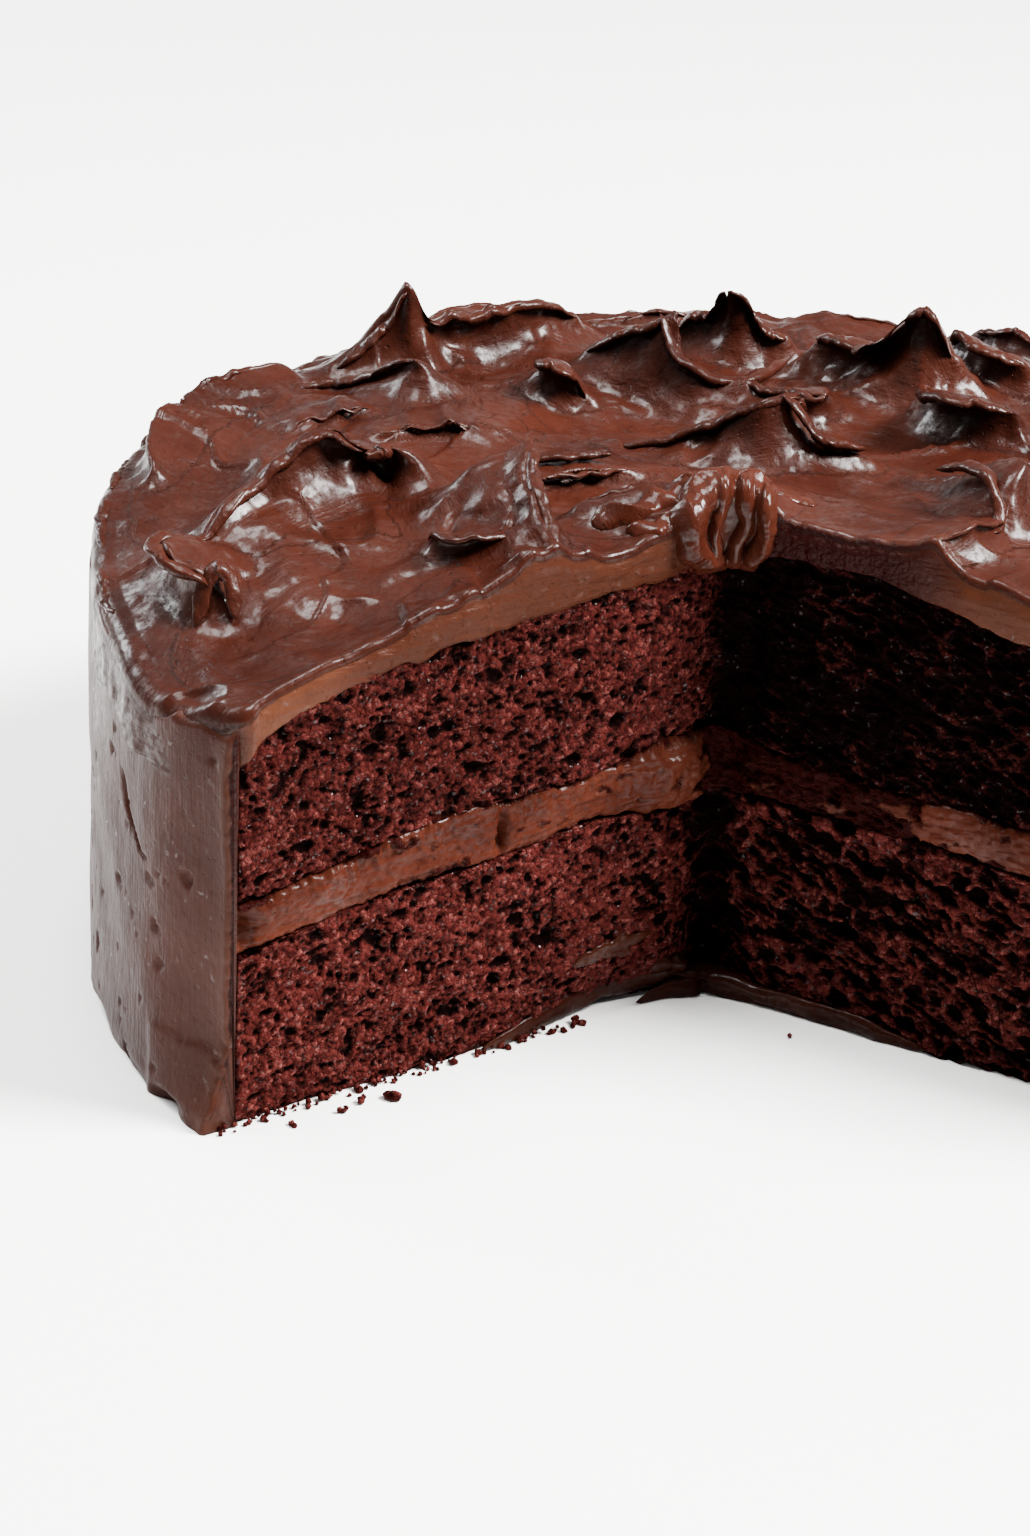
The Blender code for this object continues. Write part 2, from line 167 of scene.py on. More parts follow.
SPONGE_DARK = (0.0150, 0.0022, 0.0019)
SPONGE_MIDDLE = (0.0390, 0.0070, 0.0060)
SPONGE_LIGHT = (0.0740, 0.0205, 0.0175)
# The lower sponge's browns are this many times the upper's: painted light, the same crumb lit more.
LOWER_PAINTED_LIGHT = 1.30
# Near black painted shade for the pores, the gaps between crumbs and the shaded right cut.
PORE_SHADE = (0.0016, 0.0003, 0.0003)


class Value:
    """A number socket of a material: each sum on it adds a Math node."""

    def __init__(self, finish, socket):
        self.finish = finish
        self.socket = socket

    def maths(self, operation, *values):
        """A Math node on these values."""
        return self.finish.node("ShaderNodeMath", {"operation": operation}, *values)

    def __add__(self, other):
        return self.maths("ADD", self, other)

    def __radd__(self, other):
        return self.maths("ADD", other, self)

    def __sub__(self, other):
        return self.maths("SUBTRACT", self, other)

    def __rsub__(self, other):
        return self.maths("SUBTRACT", other, self)

    def __mul__(self, other):
        return self.maths("MULTIPLY", self, other)

    def __rmul__(self, other):
        return self.maths("MULTIPLY", other, self)

    def ramp(self, low, high):
        """An eased step from 0 at low to 1 at high."""
        settings = {"interpolation_type": "SMOOTHSTEP", "clamp": True}
        return self.finish.node("ShaderNodeMapRange", settings, self, low, high, 0.0, 1.0)


class Finish:
    """A material under way. Its constants are set on the Principled shader's own sockets."""

    def __init__(self, name, **constants):
        self.material = bpy.data.materials.new(name)
        self.material.use_nodes = True
        self.tree = self.material.node_tree
        self.shader = self.tree.nodes["Principled BSDF"]
        for socket, value in constants.items():
            self.shader.inputs[socket.replace("_", " ")].default_value = value
        self.place = self.node("ShaderNodeTexCoord", {}, output="Object")

    def node(self, kind, settings, *values, output=0, **named):
        """A node of this type: settings first, then its sockets, in order or by name."""
        made = self.tree.nodes.new(kind)
        for setting, value in settings.items():
            setattr(made, setting, value)
        pairs = [(made.inputs[i], value) for i, value in enumerate(values)]
        pairs += [(made.inputs[name.replace("_", " ")], value) for name, value in named.items()]
        for socket, value in pairs:
            if isinstance(value, Value):
                self.tree.links.new(value.socket, socket)
            else:
                socket.default_value = value
        return Value(self, made.outputs[output])

    def noise(self, scale, detail=2.0, stretch=None, place=None, output=0):
        """Noise from 0 to 1 with that many lumps to a metre, drawn out along an axis by stretch."""
        place = place or self.place
        if stretch:
            place = self.node("ShaderNodeMapping", {}, Vector=place, Scale=stretch)
        sockets = {"Vector": place, "Scale": scale, "Detail": detail}
        return self.node("ShaderNodeTexNoise", {}, output=output, **sockets)

    def attribute(self, name, output="Fac"):
        """A value stored on the mesh's points."""
        return self.node("ShaderNodeAttribute", {"attribute_name": name}, output=output)

    def mix(self, factor, first, second):
        """A colour between two."""
        made = self.tree.nodes.new("ShaderNodeMix")
        made.data_type = "RGBA"
        for index, value in ((0, factor), (6, first), (7, second)):
            if isinstance(value, Value):
                self.tree.links.new(value.socket, made.inputs[index])
            elif index == 0:
                made.inputs[0].default_value = value
            else:
                made.inputs[index].default_value = (*value, 1.0)
        return Value(self, made.outputs[2])

    def bump(self, height, distance, strength=1.0, under=None):
        """A bump of that height in metres, over another one."""
        sockets = {"Height": height, "Distance": distance, "Strength": strength}
        if under:
            sockets["Normal"] = under
        return self.node("ShaderNodeBump", {}, **sockets)

    def wear(self, **linked):
        """Feed the Principled shader's sockets."""
        for socket, value in linked.items():
            self.tree.links.new(value.socket, self.shader.inputs[socket.replace("_", " ")])
        return self.material


def lattice(i, j, seed):
    """A number from 0 to 1 for each pair of whole numbers: what follows the point of a large sine."""
    return np.modf(np.abs(np.sin(i * 127.1 + j * 311.7 + seed * 74.7) * 43758.5453))[0]


def rough(x, y, seed):
    """Smooth noise from -1 to 1, its lumps one unit across: lattice numbers blended by eased shares."""
    i, j = np.floor(x), np.floor(y)
    u, v = x - i, y - j
    u, v = u**3 * (u * (u * 6 - 15) + 10), v**3 * (v * (v * 6 - 15) + 10)
    low = lattice(i, j, seed) * (1 - u) + lattice(i + 1, j, seed) * u
    high = lattice(i, j + 1, seed) * (1 - u) + lattice(i + 1, j + 1, seed) * u
    return 2 * (low * (1 - v) + high * v) - 1


def layered(x, y, seed, octaves=3):
    """Noise with finer noise on it: each octave is half as wide and half as high as the last."""
    return sum(rough(x * 2**k, y * 2**k, seed + 17 * k) / 2**k for k in range(octaves)) / 1.6


def pores(x, y, share, seed):
    """Depth of round pits, one in a share of the unit cells: the square root of 1 - (away / radius)²."""
    deepest = np.zeros(np.shape(x))
    for step_i in (-1, 0, 1):
        for step_j in (-1, 0, 1):
            i, j = np.floor(x) + step_i, np.floor(y) + step_j
            at_x, at_y = i + lattice(i, j, seed), j + lattice(i, j, seed + 1)
            size = 0.22 + 0.38 * lattice(i, j, seed + 2) ** 2
            away = np.hypot(x - at_x, y - at_y) / size
            depth = np.sqrt(np.clip(1 - away**2, 0, 1)) * size / 0.6
            kept = lattice(i, j, seed + 3) < share
            deepest = np.maximum(deepest, np.where(kept, depth, 0.0))
    return deepest


def eased(value, low, high):
    """A smooth step from 0 at low to 1 at high."""
    share = np.clip((value - low) / (high - low), 0.0, 1.0)
    return share**2 * (3 - 2 * share)


def waves(along, up, pitch):
    """Smooth unevenness from -1 to 1: three crossing waves of unlike lengths."""
    first = np.sin(along / pitch * 6.1 + 1.3 * np.sin(up / pitch * 4.7))
    second = np.sin(up / pitch * 7.3 + 1.7 * np.sin(along / pitch * 3.1 + 2.0))
    third = np.sin((along + up) / pitch * 11.0 + 0.7)
    return (first + second + 0.6 * third) / 2.6


def sponge_height(x, y):
    """Top of the upper sponge: a dome with a rounded shoulder and a hump by the right cut."""
    share = np.hypot(x, y) / FOOT_RADIUS
    hump = 0.0035 * np.exp(-((x - 0.012) ** 2 + (y + 0.020) ** 2) / (2 * 0.015**2))
    return SPONGE_TOP - SPONGE_FALL * share**2 - SPONGE_SHOULDER * share**8 + hump


def filling_faces(x, y):
    """Underside and top of the filling, which swells and thins as it was spread."""
    middle = FILLING_MIDDLE - FILLING_FALL * (np.hypot(x, y) / FOOT_RADIUS) ** 2
    middle = middle + 0.0012 * waves(x, y, 0.09)
    thick = FILLING_THICK * (1.0 + 0.28 * waves(y, x, 0.07))
    thick = thick + 0.004 * np.exp(-((x + 0.012) ** 2 + (y + 0.018) ** 2) / (2 * 0.008**2))
    return middle - thick / 2, middle + thick / 2


def cut_reach(degrees, radius):
    """How far the circle is from the apex in that direction."""
    angle = np.radians(degrees)
    along = APEX[0] * np.cos(angle) + APEX[1] * np.sin(angle)
    return np.sqrt(along**2 + radius**2 - APEX @ APEX) - along


def cut_places(s):
    """Places on the cuts seen from above, at distances from the apex, under 0 on the left one."""
    angle = np.radians(np.where(s < 0, LEFT_CUT, RIGHT_CUT))
    return APEX + np.abs(s)[:, None] * np.stack([np.cos(angle), np.sin(angle)], 1)


def cut_facing(s, turn=APEX_TURN):
    """Direction out of the cuts: round the apex it turns with the hyperbolic tangent of the distance."""
    return np.radians(-90.0 - CUT_FACES * np.tanh(s / turn))


def edge_line(radius, step):
    """The edge seen from above, anticlockwise: the left cut in to the apex, the right cut out, the rim.

    It gives the places, the directions that face out, the distance from the apex along the cuts
    (under 0 on the left one), and 1 for a point of the cuts.
    """
    left, right = cut_reach(LEFT_CUT, radius), cut_reach(RIGHT_CUT, radius)
    s = np.linspace(-left, right, int((left + right) / step) + 1)
    cut = cut_places(s)
    ends = [np.arctan2(*cut[k][::-1]) % (2 * np.pi) for k in (-1, 0)]
    around = np.linspace(ends[0] - 2 * np.pi, ends[1], RIM_COLUMNS + 2)[1:-1]
    place = np.concatenate([cut, radius * np.stack([np.cos(around), np.sin(around)], 1)])
    facing = np.concatenate([cut_facing(s), around])
    out = np.stack([np.cos(facing), np.sin(facing)], 1)
    s = np.concatenate([s, np.full(RIM_COLUMNS, right)])
    return place, out, s, np.arange(len(s)) < len(s) - RIM_COLUMNS


def band_faces(rows, columns, start=0):
    """Quads between rows of a closed band of points, the first row lowest."""
    row, column = np.meshgrid(np.arange(rows - 1), np.arange(columns), indexing="ij")
    after = (column + 1) % columns
    low, high = start + row * columns, start + (row + 1) * columns
    return np.stack([low + column, low + after, high + after, high + column], -1).reshape(-1, 4)


def cap(loop, first, height, start, upwards):
    """Rings of points that shrink from a loop to the pole, on a surface, and the faces between them."""
    count = len(loop)
    rings = [loop]
    for share in CAP_SHARES:
        x, y = (POLE + share * (loop[:, :2] - POLE)).T
        rings.append(np.stack([x, y, height(x, y)], 1))
    pole = np.array([[*POLE, float(height(*POLE))]])
    points = np.concatenate([*rings[1:], pole])
    numbers = [first] + [start + k * count + np.arange(count) for k in range(len(CAP_SHARES))]
    faces = []
    for outer, inner in zip(numbers[:-1], numbers[1:]):
        faces.append(np.stack([outer, np.roll(outer, -1), np.roll(inner, -1), inner], 1))
    last = numbers[-1]
    tip = np.full(count, start + len(CAP_SHARES) * count)
    fan = np.stack([last, np.roll(last, -1), tip], 1)
    if not upwards:
        faces, fan = [quads[:, ::-1] for quads in faces], fan[:, ::-1]
    return points, faces, fan


def closed_band(band, low, high):
    """A solid from rows of points round it, closed by a cap on a surface above and on one below.

    The last value is the number of points in the caps.
    """
    rows, count = band.shape[:2]
    band = band.reshape(-1, 3)
    first = np.arange(count)
    last = first + (rows - 1) * count
    top, top_faces, top_fan = cap(band[last], last, high, len(band), True)
    foot, foot_faces, foot_fan = cap(band[first], first, low, len(band) + len(top), False)
    points = np.concatenate([band, top, foot])
    faces = [band_faces(rows, count), *top_faces, top_fan, *foot_faces, foot_fan]
    return points, faces, len(top) + len(foot)


def add_piece(name, points, faces, material, node, slot, **stored):
    """A smooth mesh from arrays of points and faces, riding on the cake in the place of a node."""
    mesh = bpy.data.meshes.new(name)
    corners = np.concatenate([part.ravel() for part in faces]).astype(np.int32)
    sizes = np.concatenate([np.full(len(part), part.shape[1]) for part in faces])
    mesh.vertices.add(len(points))
    mesh.loops.add(len(corners))
    mesh.polygons.add(len(sizes))
    mesh.vertices.foreach_set("co", points.astype(np.float32).ravel())
    mesh.loops.foreach_set("vertex_index", corners)
    mesh.polygons.foreach_set("loop_start", (np.cumsum(sizes) - sizes).astype(np.int32))
    mesh.update(calc_edges=True)
    for key, values in stored.items():
        kind = "FLOAT" if values.ndim == 1 else "FLOAT_VECTOR"
        layer = mesh.attributes.new(key, kind, "POINT")
        layer.data.foreach_set("value" if kind == "FLOAT" else "vector", values.astype(np.float32).ravel())
    mesh.shade_smooth()
    mesh.materials.append(material)
    made = bpy.data.objects.new(name, mesh)
    bpy.context.scene.collection.objects.link(made)
    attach(made, "root")
    if node:
        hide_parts(node)
    return made


def torn_crumb(s, z, seed, face_shade=0.0):
    """Step out of the cut plane where the sponge tore, in metres, and painted shade from 0 to 1.

    The step is broad unevenness, plus grain, less the deepest of three sizes of pores and a finer
    tearing. On the left cut the pores are round. On the right one the crumb is dragged into
    slanting flakes. The inner corner is torn back, and the foot of the left cut is rubbed away.
    The painted shade follows the depth of the pits on the left cut. On the right cut it covers all
    but the crests of the flakes, and the last argument adds more there. More shade is painted round
    the inner corner, and dark patches lie at random. Lengths here are in mm: u along the cut and v up it.
    """
    u, v = s * 1000, z * 1000
    bend_u = u + 0.5 * layered(u / 2, v / 2, seed + 5)
    bend_v = v + 0.5 * layered(u / 2, v / 2, seed + 6)
    broad = 0.75 * layered(u / 11, v / 9, seed)
    grain = 0.30 * layered(u / 0.9, v / 0.85, seed + 1, 2)
    hollow = 1.4 * pores(bend_u / 3.0, bend_v / 2.2, 0.13, seed + 2)
    hollow = np.maximum(hollow, 0.95 * pores(bend_u / 1.5, bend_v / 1.2, 0.34, seed + 3))
    hollow = np.maximum(hollow, 0.60 * pores(bend_u / 0.9, bend_v / 0.8, 0.60, seed + 4))
    torn = np.clip((layered(u / 1.9, v / 1.5, seed + 20) - 0.22) / 0.35, 0, 1)
    hollow = np.maximum(hollow, 0.85 * torn * eased(layered(u / 6, v / 5, seed + 21), -0.5, 0.2))
    round_step = broad + grain - hollow
    along, across = 0.92 * bend_u - 0.38 * bend_v, 0.92 * bend_v + 0.38 * bend_u
    flake = 1 - np.abs(layered(along / 3.4, across / 1.45, seed + 7))
    deep = 1.8 * pores(along / 4.2, across / 2.4, 0.22, seed + 8)
    flaked = broad + 2.3 * (flake - 1) + grain - deep
    right = eased(u, -2.0, 6.0)
    step = round_step * (1 - right) + flaked * right
    # Painted shade: on the right cut it covers all but the crests of the flakes and is deepest in the pits;
    # on the left cut it follows the depth of the pits.
    dark = np.clip(face_shade + (1 - flake) * 1.5 + deep / 1.5, 0, 1)
    depth = np.clip(hollow / 1.1, 0, 1) * (1 - right) + dark * right
    corner = (2.4 + 2.6 * layered(v / 6, u / 5, seed + 9)) * np.exp(-(((u - 0.5) / 5) ** 2))
    foot = 4.2 * np.exp(-(((np.abs(u) - 20) / 14) ** 2)) * np.clip(1 - v / 14, 0, 1) ** 2 * (1 - right)
    under = 0.7 * np.clip(1 - v / 1.8, 0, 1) ** 2
    # Painted shade round the inner corner, and dark patches at random.
    shade = 0.45 * np.exp(-((u / 4) ** 2)) + 0.30 * eased(layered(u / 9, v / 8, seed + 12), 0.1, 0.7)
    return (step - corner - foot - under) / 1000, np.clip(depth + shade, 0, 1)


def sponge_finish(name, bright):
    """Moist dark crumb: lumps each of its own brown, wet specks, and near black painted shade in the gaps."""
    finish = Finish(name, Specular_IOR_Level=0.008, Coat_Roughness=0.20)
    # The browns are scaled by the brightness given, which is painted light for the lower sponge.
    darkest, middle, light = bright * np.array([SPONGE_DARK, SPONGE_MIDDLE, SPONGE_LIGHT])
    bend = finish.noise(900.0, 2.0, output="Color")
    added = {"operation": "MULTIPLY_ADD"}
    place = finish.node("ShaderNodeVectorMath", added, bend, (0.0009,) * 3, finish.place)
    lumps = {"Vector": place, "Scale": 1150.0, "Randomness": 1.0}
    gap = finish.node("ShaderNodeTexVoronoi", {}, output="Distance", **lumps)
    own = finish.node("ShaderNodeTexVoronoi", {}, output="Color", **lumps)
    fine = finish.noise(3400.0, 2.0)
    patches = finish.noise(210.0, 3.0).ramp(0.30, 0.70)
    colour = finish.mix(patches * 0.45 + own * 0.55, darkest, middle)
    colour = finish.mix((own * fine * 2.0).ramp(0.60, 1.05) * 0.80, colour, light)
    # Painted shade: the gaps between the lumps, and clots at random, go near black.
    clots = finish.noise(520.0, 3.0).ramp(0.50, 0.68)
    dark = gap.ramp(0.42, 0.85) * 0.60 + clots * 0.55
    colour = finish.mix(dark, colour, PORE_SHADE)
    # Painted shade stored on the points darkens the colour too, and the wet specks stay off it.
    colour = finish.mix(finish.attribute("pore").ramp(0.08, 0.62), colour, PORE_SHADE)
    wet = finish.noise(1500.0, 2.0).ramp(0.60, 0.74) * (1.0 - finish.attribute("pore"))
    rise = finish.bump(fine * 0.35 - gap, 0.00060)
    return finish.wear(Base_Color=colour, Roughness=0.80 - wet * 0.25, Coat_Weight=wet * 0.4, Normal=rise)


def sponge_layer(name, node, low, high, rows, seed, face_shade, material):
    """One sponge: rows of points up its edge, stepped out of the cut by the tearing, and two caps."""
    place, out, s, on_cut = edge_line(SPONGE_RADIUS, CRUMB_STEP)
    under, over = low(*place.T), high(*place.T)
    share = np.linspace(0.0, 1.0, rows)[:, None]
    z = under + share * (over - under)
    step, pore = torn_crumb(np.broadcast_to(s, z.shape), z, seed, face_shade)
    step, pore = step * on_cut, pore * on_cut
    x, y = (place[:, k] + step * out[:, k] for k in (0, 1))
    points, faces, hidden = closed_band(np.stack([x, y, z], -1), low, high)
    # The painted shade goes on the band's points, and none on the caps.
    pore = np.concatenate([pore.ravel(), np.zeros(hidden)])
    return add_piece(name, points, faces, material, node, "sponge", pore=pore)


def floor_height(x, y):
    """Foot of the lower sponge, a hair over the floor."""
    return FLOOR_LIFT + 0 * x


def filling_under(x, y):
    """Top of the lower sponge."""
    return filling_faces(x, y)[0] - FIT_GAP


def filling_over(x, y):
    """Underside of the upper sponge."""
    return filling_faces(x, y)[1] + FIT_GAP


lower_crumb = sponge_finish("lower_crumb", LOWER_PAINTED_LIGHT)
sponge_layer(
    "crumb_lower", "sponge_lower", floor_height, filling_under, LOWER_ROWS, LOWER_SEED, 0.0, lower_crumb
)
upper_crumb = sponge_finish("upper_crumb", 1.0)
sponge_layer(
    "crumb_upper", "sponge_upper", filling_over, sponge_height, UPPER_ROWS, UPPER_SEED, UPPER_SHADE,
    upper_crumb,
)


# The filling: a soft chocolate cream, spread between the sponges and dragged by the knife along
# both cut faces. Its edges are pulled into small tufts, and crumb is torn into it in places.
FILLING_STEP = 0.00036
FILLING_ROWS = 44
FILLING_OVERLAP = 0.0003
FILLING_PROUD = 0.0001
FILLING_TUCK = 0.0022
CREAM_DARK = (0.0140, 0.0024, 0.0011)
CREAM_LIGHT = (0.0400, 0.0096, 0.0052)
CREAM_TORN = (0.0085, 0.0010, 0.0008)
CREAM_LIT = (0.0620, 0.0210, 0.0095)


def cream_finish(name, dark, light, roughness, shine, grain, sheen=0.012, soft=0.20):
    """Chocolate cream: two browns in soft clouds, a broken wet skin, and fine drag lines and bubbles.

    The piece's points say where crumbs are torn in, which on the top's right band is painted shade
    as well, where the skin is dull but for fine glints, and where painted light makes it paler.
    The drag lines run along the flow that is stored on them.
    """
    finish = Finish(name, Specular_IOR_Level=sheen, Coat_Roughness=soft, Coat_IOR=1.30)
    clouds = finish.noise(55.0, 3.0).ramp(0.30, 0.72)
    fine = finish.noise(900.0, 3.0)
    specks = finish.noise(620.0, 2.0).ramp(0.62, 0.72)
    colour = finish.mix(clouds * 0.60 + fine * 0.40 - specks * 0.25, dark, light)
    tone = roughness + finish.noise(240.0, 2.0) * 0.20 - 0.10
    broken = finish.noise(1000.0, 2.0).ramp(0.36, 0.62) * 0.75 + 0.25
    wet = (finish.noise(130.0, 2.0).ramp(0.32, 0.74) * 0.7 + 0.3) * shine * broken
    lines = finish.attribute("flow", "Vector")
    drag = finish.noise(1.0, 3.0, stretch=(1.5, 0.12, 1.0), place=lines)
    bubbles = finish.noise(1300.0, 1.0).ramp(0.68, 0.76)
    lumps = finish.noise(330.0, 3.0)
    crumbs = finish.attribute("crumbs")
    # Painted light turns the cream paler where the points say; torn crumb, on the top's right band also
    # painted shade, turns it dark.
    colour = finish.mix(finish.attribute("pale"), colour, CREAM_LIT)
    colour = finish.mix(crumbs, colour, CREAM_TORN)
    glints = finish.noise(800.0, 1.0).ramp(0.67, 0.73)
    wet = wet * (1.0 - crumbs) * (1.0 - finish.attribute("dull") * (1.0 - glints))
    rough_skin = drag * 0.6 + fine * 0.4 - bubbles * 0.4 - specks * 0.2 + lumps * 1.1 + crumbs * fine * 2.5
    rise = finish.bump(rough_skin, grain)
    return finish.wear(Base_Color=colour, Roughness=tone, Coat_Weight=wet, Normal=rise)


def filling_marks(u, v, share, torn):
    """Step of the filling's face out of the cut, and where crumb is torn into it, from 0 to 1.

    The step is drag lines, tufts combed up in the upper half, a blob near the apex and two small
    hollows as bells, and the sponge's own tearing where the crumb is torn in. Crumb shows where
    noise passes a limit, which is lower on the right cut's inner part and near the layer's edges.
    All lengths are in mm: u along the cut and v up it.
    """
    drag = 0.28 * layered(u / 7 + v / 9, v / 0.9 - u / 12, 84) + 0.30 * layered(u / 3, v / 2.5, 85)
    comb = 0.38 * layered(u / 1.1 + v / 6, v / 3.5, 86) * eased(share, 0.40, 0.85)
    comb = comb * eased(layered(u / 8, 0 * v, 88), -0.4, 0.3) + 0.22 * layered(u / 0.9, v / 0.9, 89)
    blob = 2.8 * np.exp(-(((u + 9) / 6) ** 2) - ((v - 42) / 6) ** 2)
    blob = blob * (1 + 0.5 * layered(u / 2.5, v / 6, 92))
    hole = 2.6 * np.exp(-(((u + 41.6) / 0.8) ** 2) - ((v - 38.5) / 3.0) ** 2)
    hollow = 2.8 * np.exp(-(((u + 88) / 2.2) ** 2) - ((v - 34) / 4.5) ** 2)
    step = FILLING_PROUD * 1000 + drag + comb + blob - hole - hollow + 0.4 * layered(u / 12, v / 8, 87)
    clear = np.where(u < 0, 0.92 - 0.55 * np.exp(-((u / 3) ** 2)), 0.20 + 0.75 * eased(u, 28.0, 44.0))
    field = 0.5 + 0.62 * layered(u / 4.5, v / 3.0, 90) + 0.22 * layered(u / 1.2, v / 1.0, 91)
    edge = np.abs(2 * share - 1) ** 5 * 0.5
    crumbs = eased(field + edge - clear, -0.06, 0.10)
    return step * (1 - crumbs) + (torn + 0.3) * crumbs, crumbs


def filling_piece(material):
    """The filling's band and caps: a strip whose ragged edges are tucked in behind the crumb.

    The strip's section is the square root of 1 - |height|⁷, with the height from -1 to 1.
    """
    place, out, s, on_cut = edge_line(SPONGE_RADIUS, FILLING_STEP)
    u = s * 1000
    under, over = filling_faces(*place.T)
    tufts = 3.0 * np.clip(layered(u / 1.1, 0 * u, 81), 0, 1) + 3.5 * layered(u / 6, 0 * u, 82)
    low = under - FILLING_OVERLAP * (0.6 + 3.5 * layered(u / 4, 0 * u + 0.5, 83)) * on_cut
    high = over + FILLING_OVERLAP * (0.4 + tufts) * on_cut
    share = np.linspace(0.0, 1.0, FILLING_ROWS)[:, None]
    z = low + share * (high - low)
    v = z * 1000
    torn = torn_crumb(np.broadcast_to(s, z.shape), z, LOWER_SEED)[0] * 1000
    step, crumbs = filling_marks(u, v, share, torn)
    section = np.sqrt(np.clip(1 - np.abs(2 * share - 1) ** 7, 0, 1))
    step = (-FILLING_TUCK + (FILLING_TUCK + step / 1000) * section) * on_cut
    x, y = (place[:, k] + step * out[:, k] for k in (0, 1))
    points, faces, hidden = closed_band(
        np.stack([x, y, z], -1), lambda x, y: filling_faces(x, y)[0], lambda x, y: filling_faces(x, y)[1]
    )
    flow = np.stack([v - 0.15 * u, u + 0 * v, 0 * v], -1).reshape(-1, 3)
    stored = {
        "flow": np.concatenate([flow, np.zeros((hidden, 3))]),
        "crumbs": np.concatenate([(crumbs * on_cut).ravel(), np.zeros(hidden)]),
    }
    return add_piece("filling_spread", points, faces, material, "filling", "filling", **stored)


filling_material = cream_finish(
    "filling_cream", CREAM_DARK, CREAM_LIGHT, roughness=0.40, shine=0.30, grain=0.00032
)
filling_piece(filling_material)


# The coat on the side: frosting smoothed upwards with a flat knife, which left faint upright
# streaks, a few small pits, one long gash and a smear that lies over the foot near the left cut.
# It ends under the top coat, which is worked out first because the side rises to meet it.
WALL_RADIUS = 0.1064
FLARE_HEIGHT = 0.016
CORNER_DRAW = 0.0040
CORNER_WIDTH = 6.0
RIM_ROUND = 0.0035
SIDE_FINE = 0.00048
SIDE_COARSE = 0.0013
SIDE_FINE_DEGREES = 62.0
SIDE_ROWS = 112
SIDE_DROP = 0.0030
SIDE_END = 0.6
SIDE_HIGHEST = 0.074
EDGE_DEGREES = 0.55
EDGE_FALL = 0.0009
TOP_INWARD = 0.0035
LEAST_WALL = 0.0004
STREAK_AT = 192.5
STREAK_WIDTH = 3.8
# The side's browns are lighter than the top's: painted light, since the lamps leave the side in shade.
SIDE_LIT_DARK = (0.0150, 0.0038, 0.0022)
SIDE_LIT_LIGHT = (0.0290, 0.0088, 0.0056)
FROSTING_THICK = 0.0056
BACK_THICK = 0.0085
BACK_FROM = -0.055
BACK_TO = 0.020
CREST_ROUND = 0.0013
CREST_LEAN = 1.7
CREST_CURL = 0.50
CREST_POWER = 2.3
REACH_MORE = 1.25
BEAD_RISE = 0.0006
BEAD_WIDTH = 0.0013
GROOVE_AT = 0.0030
LEAN_SIDE = 0.68
LAP_COUNT = 1.5
LAP_RISE = 0.0008

